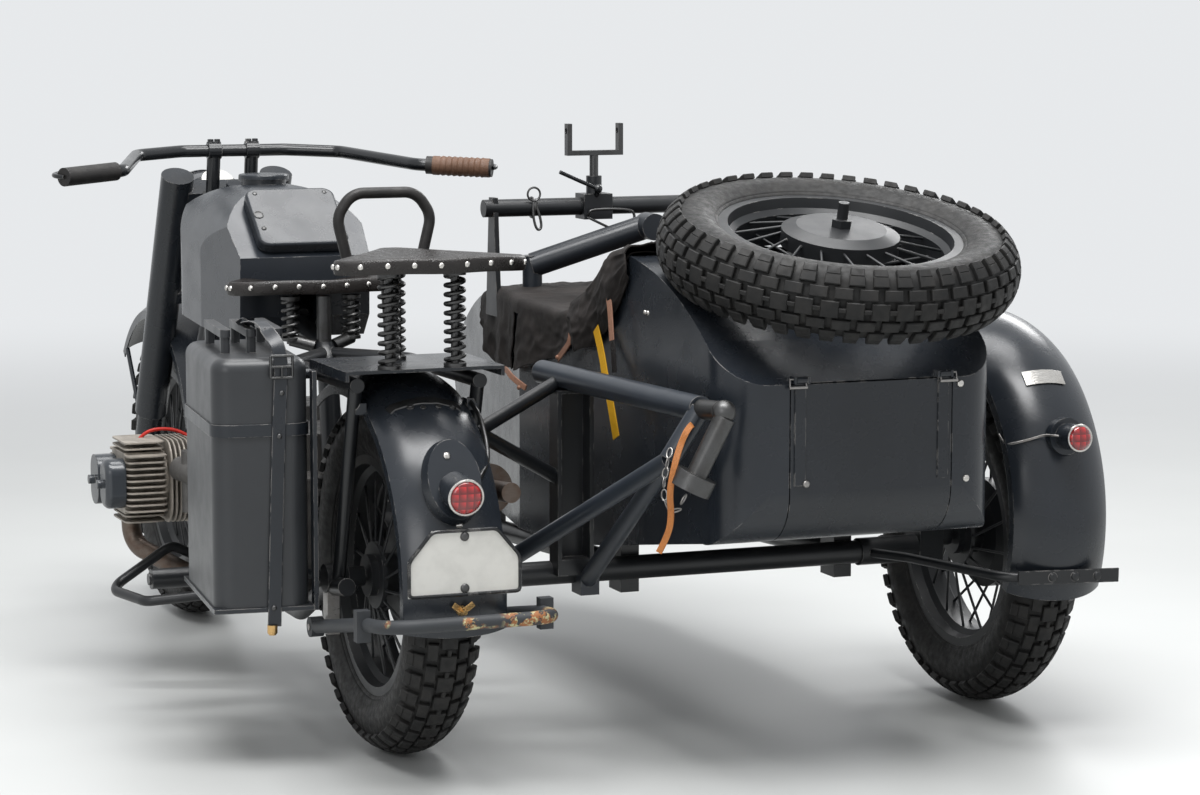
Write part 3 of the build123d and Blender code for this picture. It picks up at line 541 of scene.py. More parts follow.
BODY_OF_WHEEL = {"front": "front_wheel", "rear": "rear_wheel", "sidecar": "sidecar_wheel", "spare": "machine"}
SPARE_PLACE = at(722, -318, 897)
SPARE_TILT = 13.5
# Radius and half width of the tyre's wall, from the rim out to the tread
TYRE_WALL = ((0.205, 0.038), (0.216, 0.038), (0.216, 0.0445), (0.2195, 0.0475), (0.222, 0.0478),
             (0.2235, 0.0498), (0.2265, 0.0508), (0.236, 0.056), (0.247, 0.06), (0.26, 0.0612),
             (0.2735, 0.0602), (0.2755, 0.059), (0.284, 0.057))
# Rows of tread blocks: from and to in degrees across the tread, shift round it and length, both in pitches
TREAD_ROWS = ((-10.5, 10.5, 0.0, 0.72), (13.5, 27.0, 0.5, 0.74), (-27.0, -13.5, 0.5, 0.74),
              (30.5, 43.5, 0.0, 0.66), (-43.5, -30.5, 0.0, 0.66), (43.0, 54.0, 0.0, 0.6),
              (-43.0, -54.0, 0.0, 0.6))
# Narrow bridges between the blocks of the middle row
BRIDGE_ROW = (-2.6, 2.6, 0.5, 0.3)


def wheel_place(name):
    """Matrix that takes the wheel's axle from local Z to its place."""
    if name == "spare":
        return Matrix.Translation(SPARE_PLACE) @ Matrix.Rotation(math.radians(SPARE_TILT), 4, "X")
    return Matrix.Translation(middle_of(f"{name}_tyre")) @ Matrix.Rotation(math.radians(90), 4, "Y")


def tread_point(sizes, phi, a, depth):
    """Point of the tread: phi across from the middle, a round the wheel, depth under the surface."""
    r = sizes.crown_r - sizes.arc_r + (sizes.arc_r - depth) * math.cos(phi)
    return Vector((r * math.cos(a), r * math.sin(a), (sizes.arc_r - depth) * math.sin(phi)))


def tread_row(mesh, place, sizes, row, chamfer=0.0016):
    """Blocks in a row round the wheel, with chamfered tops."""
    phi0, phi1 = (math.radians(angle) for angle in row[:2])
    pitch = math.tau / sizes.blocks
    inset_a = chamfer / sizes.crown_r
    inset_p = chamfer / sizes.arc_r
    low, high = sorted((phi0, phi1))
    for k in range(sizes.blocks):
        a = (k + row[2]) * pitch
        a0, a1 = a - pitch * row[3] / 2, a + pitch * row[3] / 2
        rings = []
        for depth, inset in ((sizes.groove + 0.001, 0), (chamfer, 0), (0, 1)):
            least, most = low + inset_p * inset, high - inset_p * inset
            phis = [min(max(phi, least), most) for phi in spread(phi0, phi1, 3)]
            points = [tread_point(sizes, phi, a0 + inset_a * inset, depth) for phi in phis]
            points += [tread_point(sizes, phi, a1 - inset_a * inset, depth) for phi in reversed(phis)]
            rings.append([mesh.verts.new(place @ point) for point in points])
        join_rings(mesh, rings, 1)
        top = rings[-1]
        for i in (0, 1):
            mesh.faces.new((top[i], top[i + 1], top[4 - i], top[5 - i])).material_index = 1


def build_tyre(name):
    """Tyre with five staggered rows of blocks, lugs on its shoulders and a ribbed wall."""
    sizes = bpy.context.scene.sidecar_tyres
    place = wheel_place(name)
    mesh = bmesh.new()
    under = sizes.arc_r - sizes.groove
    profile = [(r, -half) for r, half in TYRE_WALL]
    for angle in spread(-44, 44, 13):
        phi = math.radians(angle)
        profile.append((sizes.crown_r - sizes.arc_r + under * math.cos(phi), under * math.sin(phi)))
    profile += [(r, half) for r, half in reversed(TYRE_WALL)]
    steps = 144
    rings = []
    for step in range(steps):
        c, s = math.cos(math.tau * step / steps), math.sin(math.tau * step / steps)
        rings.append([mesh.verts.new(place @ Vector((r * c, r * s, height))) for r, height in profile])
    join_rings(mesh, rings, closed=True)
    for row in TREAD_ROWS:
        tread_row(mesh, place, sizes, row)
    tread_row(mesh, place, sizes, BRIDGE_ROW, 0.0008)
    body = BODY_OF_WHEEL[name]
    piece = make_piece(f"{name}_tyre_tread", mesh, body, "tyre_rubber", "tread_rubber", smooth=35)
    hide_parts(f"{name}_tyre")


# saddles

SADDLE_WIDTH = drawn_x("front_saddle")[1]
SADDLE_BACK = 85
SADDLE_FRONT = 235
NOSE_WIDTH = 34
# Share of the outline and height against the top, from the middle over the leather's edge to the underside
SADDLE_LINES = ((0.0, -13.0), (0.3, -12.0), (0.55, -8.5), (0.75, -4.0), (0.88, -0.8), (0.955, 0.6),
                (0.985, -1.2), (0.998, -5.0), (1.004, -11.0), (1.0, -18.0), (0.992, -23.5), (0.98, -25.8),
                (0.966, -24.2), (0.962, -17.0), (0.955, -9.0), (0.93, -5.5), (0.8, -7.0), (0.5, -12.5),
                (0.0, -17.0))
# Place across and along, foot, top, radius and wire of each coil spring
SPRINGS = ((-60, 440, 700, 785, 18, 4), (60, 440, 700, 785, 18, 4), (-60, -170, 712, 878, 20, 4.2),
           (60, -170, 712, 878, 20, 4.2), (0, -30, 712, 878, 16, 3.6))
SPRING_PITCH = 17
# Ends and radius of each strut
STRUTS = (((0, 420, 690), (0, 420, 785), 0.014), ((0, 560, 740), (0, 640, 785), 0.01),
          ((-60, 440, 702), (-18, 420, 690), 0.012), ((60, 440, 702), (18, 420, 690), 0.012))


def saddle_outline(a):
    """Plan of the saddle in millimetres about its middle: wide and round behind, a nose ahead."""
    c, s = math.cos(a), math.sin(a)
    if s < 0:
        return SADDLE_WIDTH * c, SADDLE_BACK * s
    nose = NOSE_WIDTH + (SADDLE_WIDTH - NOSE_WIDTH) * (1 - s) ** 1.15
    return math.copysign(nose * abs(c) ** 0.45, c), SADDLE_FRONT * s


def saddle_lift(x, y):
    """Height by which the rear edge curves up at its back and dips at its middle."""
    dip = 3.0 * math.exp(-((x / 60) ** 2)) if y < 0 else 0.0
    return 7.0 * (min(y, 0) / SADDLE_BACK) ** 2 - dip


def build_saddle(node, middle_y, top_z):
    """Leather top laced over a sprung rim, its edge turned down in a band with rivets."""
    mesh = bmesh.new()
    count = 72
    shape = [saddle_outline(math.tau * k / count) for k in range(count)]
    rings = []
    for share, drop in SADDLE_LINES:
        line = []
        for x, y in (shape if share else shape[:1]):
            z = top_z + drop + saddle_lift(x, y) * share
            line.append(mesh.verts.new(at(x * share, middle_y + y * share, z)))
        rings.append(line)
    join_rings(mesh, rings)
    piece = make_piece(f"{node}_leather", mesh, "machine", "leather", smooth=60)
    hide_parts(node)
    build_saddle_rivets(node, middle_y, top_z)


def build_saddle_rivets(node, middle_y, top_z):
    """Rivets set evenly along the curved rear edge, in the middle of its turned-down band."""
    spacing = 45
    first_gap = 17
    band_drop = 11.5
    proud = 1.003
    studs = bmesh.new()
    reach = spacing
    steps = 288
    x0, y0 = saddle_outline(math.pi)
    for k in range(steps):
        x, y = saddle_outline(math.pi + math.pi * k / steps)
        reach += math.hypot(x - x0, y - y0)
        if reach >= spacing:
            out = Vector((x / SADDLE_WIDTH ** 2, y / SADDLE_BACK ** 2, 0)).normalized()
            spot = (x * proud, middle_y + y * proud, top_z - band_drop + saddle_lift(x, y))
            round_rivet(studs, spot, out, 0.0052)
            reach = 0.0 if k else spacing - first_gap
        x0, y0 = x, y
    make_piece(f"{node}_leather_rivets", studs, "machine", "bright_steel")


def build_springs():
    """Coil springs on their rods under both saddles, with the struts that join them."""
    mesh = bmesh.new()
    for x, y, low, high, radius, wire in SPRINGS:
        rod(mesh, (x, y, low - 6), (x, y, high), 0.0075, 14, 1)
        turns = (high - low) / SPRING_PITCH
        count = round(turns * 20)
        reach = radius - wire
        rise = high - low - 2 * wire
        coil = []
        for k in range(count + 1):
            a = math.tau * turns * k / count
            coil.append(at(x + reach * math.cos(a), y + reach * math.sin(a), low + wire + rise * k / count))
        sweep_tube(mesh, coil, wire / 1000, 8)
        r = radius / 1000
        for z in (low, high - 7):
            turned_solid(mesh, frame_at(at(x, y, z), UP), [(0, 0), (r, 0), (r, 0.006), (0, 0.006)], 28, 1)
    for start, end, radius in STRUTS:
        rod(mesh, start, end, radius, 20, 1)
    piece = make_piece("coil_springs", mesh, "machine", "dark_steel", "gloss_black")
    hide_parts("saddle_springs")


# cloth, webbing and leather

# The sidecar's body: its middle, half its width, and where and how much it narrows towards its nose
BODY_X, BODY_HALF = drawn_x("sidecar_body")
BODY_LEFT_X = BODY_X - BODY_HALF
NARROWS_FROM_Y = 520
NARROWS_BY = 0.157
# Ends of the cover and of its folded flap along the body
COVER_Y = (-56, 900)
FLAP_Y = (-66, 212)
# Places along the body with the height of its rim, the drop of the cover's left side, and the flap's hem
RIM_LINE = ((-66, 886), (20, 869), (80, 826), (140, 791), (220, 763), (300, 746), (660, 754), (700, 754),
            (740, 752.5), (780, 750.5), (820, 746.5), (860, 740), (900, 731.5), (1010, 701))
SIDE_HANG = ((-60, 40), (120, 55), (250, 72), (360, 94), (500, 134), (740, 152), (850, 96), (905, 58))
FLAP_HEM = ((-66, 833), (10, 753), (80, 709), (162, 688), (190, 702), (212, 724))


def level_at(line, y):
    """Value at y of a line given by points, straight between them."""
    for (y0, z0), (y1, z1) in zip(line, line[1:]):
        if y <= y1:
            return z0 + (z1 - z0) * max(0.0, y - y0) / (y1 - y0)
    return line[-1][1]


def wrinkle(x, y, z, size, depth):
    """Soft creases: ridged noise over a length of size millimetres."""
    spot = Vector((x, y, z)) / size
    ridge = 1 - abs(noise.noise(spot)) * 2
    return depth * (0.65 * ridge * ridge + 0.5 * noise.noise(spot * 2.3))


def cloth_piece(name, rows, thickness, keep=None):
    """Closed sheet of even thickness through rows of places. Gives the piece and its outer area."""
    mesh = bmesh.new()
    grid = [[mesh.verts.new(at(*point)) for point in row] for row in rows]
    for i in range(len(rows) - 1):
        for j in range(len(rows[0]) - 1):
            if keep is None or keep(rows[i][j]):
                mesh.faces.new((grid[i][j], grid[i][j + 1], grid[i + 1][j + 1], grid[i + 1][j]))
    bmesh.ops.delete(mesh, geom=[v for v in mesh.verts if not v.link_faces], context="VERTS")
    bmesh.ops.recalc_face_normals(mesh, faces=mesh.faces)
    area = sum(face.calc_area() for face in mesh.faces)
    mesh.normal_update()
    outer_faces = list(mesh.faces)
    rim = [edge.link_loops[0] for edge in mesh.edges if len(edge.link_faces) == 1]
    rim = [(loop.vert, loop.link_loop_next.vert) for loop in rim]
    twins = {v: mesh.verts.new(v.co - v.normal * thickness / 1000) for v in list(mesh.verts)}
    for face in outer_faces:
        mesh.faces.new([twins[v] for v in reversed(face.verts)])
    for a, b in rim:
        mesh.faces.new((b, a, twins[a], twins[b]))
    return make_piece(name, mesh, "machine", "canvas", smooth=70), area


def cushion(name, low, high, bulge, pleats):
    """Stuffed block with soft corners: its top is drawn in along pleats and crowned between them."""
    mesh = bmesh.new()
    count = 26
    roundness = 7
    middle = [(a + b) / 2 for a, b in zip(low, high)]
    half = [(b - a) / 2 for a, b in zip(low, high)]
    made = {}

    def corner(*step):
        if step not in made:
            u, v, w = (2 * n / count - 1 for n in step)
            reach = sum(abs(c) ** roundness for c in (u, v, w)) ** (1 / roundness)
            u, v, w = u / reach, v / reach, w / reach
            crown = (1 - u ** 4) * (1 - v ** 4)
            groove = abs(math.sin(math.pi * pleats * (u + 1) / 2)) ** 0.45
            push = bulge * crown * (groove - 0.75) + wrinkle(u * 200, v * 200, 7, 70, 2.0) * crown
            made[step] = mesh.verts.new(at(middle[0] + half[0] * u * 0.985, middle[1] + half[1] * v,
                                           middle[2] + half[2] * w + (push if w > 0.5 else 0)))
        return made[step]

    for a in range(count):
        for b in range(count):
            square = ((a, b), (a + 1, b), (a + 1, b + 1), (a, b + 1))
            for side in (0, count):
                mesh.faces.new([corner(side, x, y) for x, y in square])
                mesh.faces.new([corner(x, side, y) for x, y in square])
                mesh.faces.new([corner(x, y, side) for x, y in square])
    piece = make_piece(name, mesh, "machine", "leather", smooth=60)
    return piece


def build_seat():
    """Passenger's seat and back cushions under the cover."""
    seat = cushion("seat_cushion", (494, 3, 364), (890, 378, 444), 7, 5)
    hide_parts("sidecar_seat")
    cushion("seat_back", (494, -38, 450), (890, -2, 698), 0, 1)


def build_canvas():
    """Cover over the cockpit, slack between its edges, its left side hanging in folds and open at a slit."""
    quarter = spread(0, math.pi / 2, 7)[1:-1]
    clearance = 4.5
    slack_depth, slack_from_y, slack_to_y = 13, -60, 580
    rows = []
    for y in spread(*COVER_Y, 150):
        rim = level_at(RIM_LINE, y)
        half = BODY_HALF - max(0.0, y - NARROWS_FROM_Y) * NARROWS_BY
        left, right = BODY_X - half, BODY_X + half
        hang = level_at(SIDE_HANG, y)
        along = (y - slack_from_y) / (slack_to_y - slack_from_y)
        slack = slack_depth * math.sin(math.pi * along) if along < 1 else 0.0
        row = []
        for down in spread(1, 0, 19):
            fold = 7 * down * math.sin(y / 31 + 2.2 * math.sin(y / 120)) + 6 * down
            out = clearance + fold + wrinkle(0, y, down * 160, 60, 5 * (0.4 + down))
            row.append((left - max(out, 3.2), y + 5 * down * math.sin(y / 57), rim - 9 - (hang - 9) * down))
        for a in quarter:
            row.append((left - clearance + 12 * (1 - math.cos(a)), y, rim - 9 + 14 * math.sin(a)))
        for s in spread(0, 1, 56):
            x = left + 8 + (2 * half - 16) * s
            sag = slack * math.sin(math.pi * s) ** 0.7
            lift = max(wrinkle(x, y, 0, 85, 7) + wrinkle(x, y, 50, 30, 2), -2 if slack < 1 else -9)
            row.append((x, y, rim + 6 - sag + lift * math.sin(math.pi * s) ** 0.3))
        for a in quarter:
            row.append((right - 8 + 12 * math.sin(a), y, rim - 9 + 14 * math.cos(a)))
        for down in spread(0, 1, 8):
            out = clearance + max(-1, wrinkle(900, y, down * 90, 55, 4 * (0.4 + down)))
            row.append((right + out, y, rim - 10 - 48 * down))
        rows.append(row)

    def outside_slit(point):
        """False for the cloth that is missing where the left side is slit."""
        x, y, z = point
        return not (505 < y < 541 and x < BODY_LEFT_X + 0.5 and z < 725)

    piece, area = cloth_piece("cockpit_canvas", rows, 2.2, outside_slit)
    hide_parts("canvas_cover")


def build_flap():
    """Rear end of the cover folded back in a heap over the bulkhead, with a flap down the left side."""
    quarter = spread(0, math.pi / 2, 8)[1:-1]
    rows = []
    for y in spread(*FLAP_Y, 70):
        rim = level_at(RIM_LINE, y) + 12
        hem = level_at(FLAP_HEM, y)
        row = []
        for down in spread(1, 0, 34):
            belly = math.sin(math.pi * down)
            ripple = math.sin(y / 23 + 1.5 * down) * 6 * down ** 0.5 + math.sin(y / 61 - 1) * 7 * down
            out = 11 + 9 * belly + ripple + wrinkle(3, y, down * 150, 48, 5)
            row.append((BODY_LEFT_X - max(out, 8.5), y - 12 * belly, hem + (rim - 8 - hem) * (1 - down)))
        for a in quarter:
            row.append((BODY_LEFT_X - 11 + 20 * (1 - math.cos(a)), y, rim - 8 + 15 * math.sin(a)))
        for s in spread(0, 1, 44):
            x = 440 + 214 * s
            heap = 10 * math.sin(math.pi * min(1, s * 1.15)) * (0.6 + 0.4 * math.sin(y / 34))
            lift = max(wrinkle(x, y, 90, 52, 8) + heap, -3)
            row.append((x, y + 10 * math.sin(x / 40), rim + 8 + lift - 9 * s * s))
        rows.append(row)
    piece, area = cloth_piece("canvas_flap", rows, 2.4)


def build_webbing():
    """Straps of the cover and the loose end of one."""
    yellow = bmesh.new()
    line = smooth_line(((412, 60, 742), (407, 20, 706), (400, -16, 665), (395, -54, 624), (392, -92, 560)))
    ribbon(yellow, line, (-1, -0.25, 0), 0.021, 0.0022)
    make_piece("yellow_strap", yellow, "machine", "yellow_webbing")
    straps = bmesh.new()
    for width, points in (
        (0.013, ((416, 14, 838), (411, -4, 812), (407, -26, 776), (404, -40, 730))),
        (0.012, ((414, 560, 612), (402, 520, 618), (400, 480, 604), (410, 430, 590))),
        (0.014, ((408, 178, 724), (404, 168, 710), (403, 196, 690), (404, 236, 668))),
    ):
        ribbon(straps, smooth_line(points), (-1, -0.3, 0.2), width, 0.0032)
    for spot in ((399, 440, 590), (401, 232, 671)):
        round_rivet(straps, spot, (-1, -0.3, 0), 0.0045, 0.003, 1)
    make_piece("tie_straps", straps, "machine", "pale_leather", "bare_steel")
    hanging = bmesh.new()
    line = smooth_line(((404, -40, 730), (406, -44, 712), (407, -42, 690), (408, -44, 672)))
    ribbon(hanging, line, (-1, -0.3, 0), 0.013, 0.003)
    make_piece("strap_end", hanging, "machine", "leather")


# small fittings

LEFT_RIGHT = (("left", -1), ("right", 1))


def build_plate():
    """Black raised rim of the bare plate, and its two screws."""
    corners = [Vector(corner) for corner in
               ((-100, 350), (100, 350), (100, 412), (58, 462), (-58, 462), (-100, 412))]
    middle_z = 406
    rounding = 9
    loop = []
    for k, here in enumerate(corners):
        start = here + (corners[k - 1] - here).normalized() * rounding
        end = here + (corners[(k + 1) % len(corners)] - here).normalized() * rounding
        for s in spread(0, 1, 5):
            spot = start * (1 - s) ** 2 + here * 2 * s * (1 - s) + end * s * s
            loop.append(at(spot.x * 0.985, -390.5, middle_z + (spot.y - middle_z) * 0.975))
    mesh = bmesh.new()
    sweep_tube(mesh, loop, 0.0032, 8, close=True)
    make_piece("plate_rim", mesh, "machine", "gloss_black")
    screws = bmesh.new()
    for height in (450, 362):
        round_rivet(screws, (0, -390, height), REARWARD, 0.008, 0.004, 0, 20)
    make_piece("plate_screws", screws, "machine", "dark_steel")


def build_lenses():
    """Red glasses of both rear lamps with their rings and screws."""
    glass = bmesh.new()
    rims = bmesh.new()
    for centre, direction, r in (((0, -398.8, 516.9), (0, -1, -0.12), 0.0275),
                                 ((1180, -376.8, 556), (0, -1, 0.06), 0.0215)):
        dome = [(r, -0.002), (r, 0.001), (r * 0.94, 0.004), (r * 0.7, 0.0065), (r * 0.35, 0.008), (0, 0.0083)]
        turned_solid(glass, frame_at(at(*centre), direction), dome, 40)
        ring(rims, centre, direction, r * 1.08, 0.0024)
    for spot, direction in (((-8, -323, 578.4), (0, -0.91, 0.41)), ((4, -351, 464), (0, -0.93, 0.36))):
        round_rivet(rims, spot, direction, 0.0065, 0.003, 1)
    make_piece("lamp_glasses", glass, "machine", "red_lens", smooth=60)
    make_piece("lamp_rings", rims, "machine", "bright_steel", "dark_steel")


def small_block(mesh, place, middle, along, across, height, slot):
    """Rectangular block that stands on the local XY plane of place."""
    corners = [middle + along * i + across * j + Vector((0, 0, h)) for h in (0, height)
               for i, j in ((-1, -1), (1, -1), (1, 1), (-1, 1))]
    points = [mesh.verts.new(place @ corner) for corner in corners]
    for face in ((0, 1, 2, 3), (7, 6, 5, 4), (0, 4, 5, 1), (1, 5, 6, 2), (2, 6, 7, 3), (3, 7, 4, 0)):
        mesh.faces.new([points[i] for i in face]).material_index = slot


def build_dial():
    """Pale speed dial in a brass ring on the head lamp, with its needle, divisions and key."""
    mesh = bmesh.new()
    normal = Vector((0, -0.61, 0.79)).normalized()
    centre = (0, 1187, 962)
    place = frame_at(at(*centre), normal)
    pale, brass, black = 0, 1, 2
    turned_solid(mesh, place, [(0.034, -0.024), (0.034, 0.0), (0.03, 0.0006), (0, 0.0006)], 48, black)
    turned_solid(mesh, place, [(0.029, -0.001), (0.029, 0.0012), (0, 0.0012)], 48, pale)
    ring(mesh, centre, normal, 0.0315, 0.0026, brass)
    for k, angle in enumerate(range(-120, 121, 10)):
        a = math.radians(angle)
        length, half_width = (0.0022, 0.0005) if k % 4 else (0.0042, 0.0008)
        out = Vector((math.sin(a), math.cos(a), 0))
        across = Vector((out.y, -out.x, 0)) * half_width
        middle = out * (0.0265 - length / 2) + Vector((0, 0, 0.0015))
        small_block(mesh, place, middle, out * length / 2, across, 0.0004, black)
    needle = (place @ Vector((0, 0, 0.0022)), place @ Vector((-0.017, -0.013, 0.0022)))
    sweep_tube(mesh, needle, 0.0007, 6, black)
    turned_solid(mesh, place, [(0.003, 0.001), (0.003, 0.0032), (0, 0.0036)], 16, black)
    make_piece("speed_dial", mesh, "steering", "plate_white", "brass", "gloss_black")
    key = bmesh.new()
    turned_solid(key, frame_at(at(0, 1222, 974), (0, -0.2, 1)),
                 [(0.009, -0.002), (0.009, 0.006), (0.006, 0.008), (0.004, 0.02), (0, 0.021)], 20)
    ribbon(key, [at(-12, 1222, 992), at(12, 1222, 992)], REARWARD, 0.01, 0.003)
    make_piece("lamp_key", key, "steering", "gloss_black")


def build_can_strap():
    """Webbing over the fuel can, its buckle and the lock below."""
    mesh = bmesh.new()
    line = smooth_line(((-251, 96, 768), (-249, 70, 776), (-246, 20, 784), (-243, -22, 784),
                        (-240, -56, 768), (-232, -78, 752), (-229, -86, 728), (-230, -87, 690),
                        (-234, -86, 603), (-240, -85, 438), (-246, -86, 259)))
    can_top = 0.776
    ribbon(mesh, line, [UP if point.z > can_top else (-0.1, -1, 0.12) for point in line], 0.024, 0.0028)
    make_piece("can_strap", mesh, "machine", "frame_grey")
    metal = bmesh.new()
    out = Vector((-0.1, -1, 0)).normalized()
    middle = at(-229, -90, 714)
    half = 0.019
    side = Vector((1, -0.1, 0)).normalized() * half
    high = Vector((0, 0, half))
    bars = [(middle - side + high * step, middle + side + high * step) for step in (-1, 0, 1)]
    bars += [(middle + side * step - high, middle + side * step + high) for step in (-1, 1)]
    for bar in bars:
        sweep_tube(metal, bar, 0.0026, 8)
    sweep_tube(metal, [middle + out * 0.003, middle + out * 0.004 + Vector((0, 0, -0.018))], 0.002, 8)
    for spot in ((-234, -90, 593), (-229, -90, 668), (-247, -89, 292)):
        round_rivet(metal, spot, out, 0.0045, 0.002)
    make_piece("can_buckle", metal, "machine", "dark_steel")
    lock = bmesh.new()
    turned_solid(lock, frame_at(at(-250, -86, 262), (0, 0, -1)),
                 [(0.009, 0), (0.009, 0.014), (0.006, 0.018), (0, 0.018)], 16)
    make_piece("can_lock", lock, "machine", "brass")


def build_side_fittings():
    """Flat strip and bolts behind the side mudguard, its bare plate, wires, studs and catches."""
    strip = bmesh.new()
    ribbon(strip, [at(1078, -342, 299.7), at(1277, -356, 296)], REARWARD, 0.026, 0.004)
    for share in (0.33, 0.55, 0.77):
        spot = (1078 + 203 * share, -344 - 14 * share, 299.7 - 3.7 * share)
        round_rivet(strip, spot, REARWARD, 0.0085, 0.005, 0, 16)
    make_piece("mudguard_strip", strip, "machine", "frame_black")
    label = bmesh.new()
    path = (((1141, -236, 648), (-0.32, -0.68, 0.66)), ((1161, -239.3, 650.8), (-0.11, -0.72, 0.69)),
            ((1180.5, -240.3, 651.8), (0.04, -0.72, 0.69)), ((1199.9, -239.5, 650.5), (0.18, -0.71, 0.68)),
            ((1219.4, -236.8, 646.8), (0.32, -0.68, 0.66)))
    ribbon(label, [at(*spot) + Vector(n) * 0.003 for spot, n in path], [n for _, n in path], 0.031, 0.0016)
    make_piece("side_label", label, "machine", "bright_steel")
    tube_piece("side_lamp_wire", ((1158, -341, 556), (1149, -331, 556.5), (1140, -316, 556),
                                  (1120, -303, 547), (1095, -287, 539), (1084, -270, 534),
                                  (1083.5, -250, 552)),
               0.0024, "machine", "bare_steel")
    tube_piece("tail_lamp_conduit", ((98, -128, 648), (101, -160, 634), (101, -186, 619), (99, -221, 585),
                                     (96, -237, 560), (84, -262, 546), (60, -300, 538), (38, -341, 530)),
               0.0042, "machine", "dark_steel")
    studs = bmesh.new()
    for spot, n in (((885, -500, 516), (0.16, -0.99, 0)), ((871, -501, 683), REARWARD)):
        round_rivet(studs, spot, n, 0.0065, 0.004, 0, 18)
    for y in (-136, -150):
        round_rivet(studs, (BODY_LEFT_X, y, 789), (-1, 0, 0), 0.0045, 0.003, 0, 14)
    make_piece("body_studs", studs, "machine", "bright_steel")
    catches = bmesh.new()
    hasp = ((-15, -508, 690), (-15, -505, 704), (15, -505, 704), (15, -508, 690))
    for middle in (559, 845):
        rod(catches, (middle - 17, -508, 690), (middle + 17, -508, 690), 0.0028)
        sweep_tube(catches, [at(middle + x, y, z) for x, y, z in hasp], 0.002, 8)
    round_rivet(catches, (577, -504, 523), REARWARD, 0.0065, 0.004, 0, 18)
    make_piece("lid_catches", catches, "trunk_lid", "bare_steel")


def build_seam():
    """Rolled seam over the rear mudguard with its row of bolts."""
    mesh = bmesh.new()
    seam = (((-65, -178, 638), (-0.49, -0.44, 0.75)), ((-56, -177.5, 645), (-0.38, -0.43, 0.82)),
            ((-35, -180, 651), (-0.25, -0.45, 0.85)), ((-9, -181.5, 655.5), (-0.06, -0.48, 0.87)),
            ((21, -181, 654), (0.13, -0.46, 0.88)), ((55, -177, 645), (0.38, -0.43, 0.82)),
            ((65, -177, 638), (0.49, -0.44, 0.75)))
    ribbon(mesh, [at(*spot) for spot, _ in seam], [n for _, n in seam], 0.02, 0.004)
    for spot, n in (((-29.2, -190.8, 646.2), (-0.19, -0.5, 0.85)), ((-7.7, -196.2, 643), (-0.1, -0.53, 0.84)),
                    ((19.7, -195.2, 643.1), (0.1, -0.53, 0.84)), ((49, -186.7, 641.8), (0.37, -0.47, 0.8))):
        hex_bolt(mesh, spot, n, 0.011, 0.005)
    make_piece("seam_bolts", mesh, "machine", "dark_steel", smooth=20)


def build_chain():
    """Links along the hanging line of the coupling's chain, each turned a quarter against the last."""
    mesh = bmesh.new()
    path = smooth_line(((330, -500, 608), (320, -512, 587), (306, -525, 552), (300, -538, 520),
                        (307, -548, 498), (321, -553, 500), (334, -556, 530)), 4)
    pitch = 0.0155
    half_length, half_width = 0.0095, 0.0048
    walked = 0.0
    turn = 0
    for before, here in zip(path, path[1:]):
        step = here - before
        walked += step.length
        if walked >= pitch:
            walked = 0.0
            turn += 1
            along = step.normalized()
            side = along.orthogonal().normalized()
            side.rotate(Matrix.Rotation(math.radians(90 * turn), 3, along))
            link = []
            for k in range(16):
                a = math.tau * k / 16
                link.append(here + along * half_length * math.cos(a) + side * half_width * math.sin(a))
            sweep_tube(mesh, link, 0.0014, 6, close=True)
    make_piece("coupling_chain", mesh, "machine", "bare_steel")


def build_tail_fittings():
    """Wing nut of the rear mudguard, plug leads, and the seam, chain and tie at the tail."""
    build_seam()
    wing = bmesh.new()
    place = frame_at(at(-3, -377, 322), REARWARD)
    turned_solid(wing, place, [(0.009, 0), (0.009, 0.006), (0.006, 0.012), (0.004, 0.024), (0, 0.024)], 16)
    for _, side in LEFT_RIGHT:
        ribbon(wing, [place @ Vector((side * x, y, z)) for x, y, z in
                      ((0, 0, 0.01), (0.009, 0.006, 0.013), (0.018, 0.013, 0.014))], REARWARD, 0.01, 0.0025)
    make_piece("wing_nut", wing, "machine", "brass")
    lead = ((276, 789, 474), (262, 789, 490), (236, 789, 497), (200, 789, 494), (172, 780, 480),
            (150, 770, 460))
    for name, side in LEFT_RIGHT:
        points = [(side * x, y, z) for x, y, z in lead]
        tube_piece(f"{name}_plug_lead", points, 0.0036, "machine", "red_cable")
    build_chain()
    tie = bmesh.new()
    line = smooth_line(((361, -514, 637), (346, -529, 633), (325, -543, 602), (309, -556, 566),
                        (301, -560, 530), (304, -562, 493), (298, -563, 461), (282, -560, 432)))
    ribbon(tie, line, [(-0.4, -1, 0.1 + 0.5 * math.sin(k * 0.5)) for k in range(len(line))], 0.011, 0.0026)
    make_piece("coupling_tie", tie, "machine", "orange_leather")


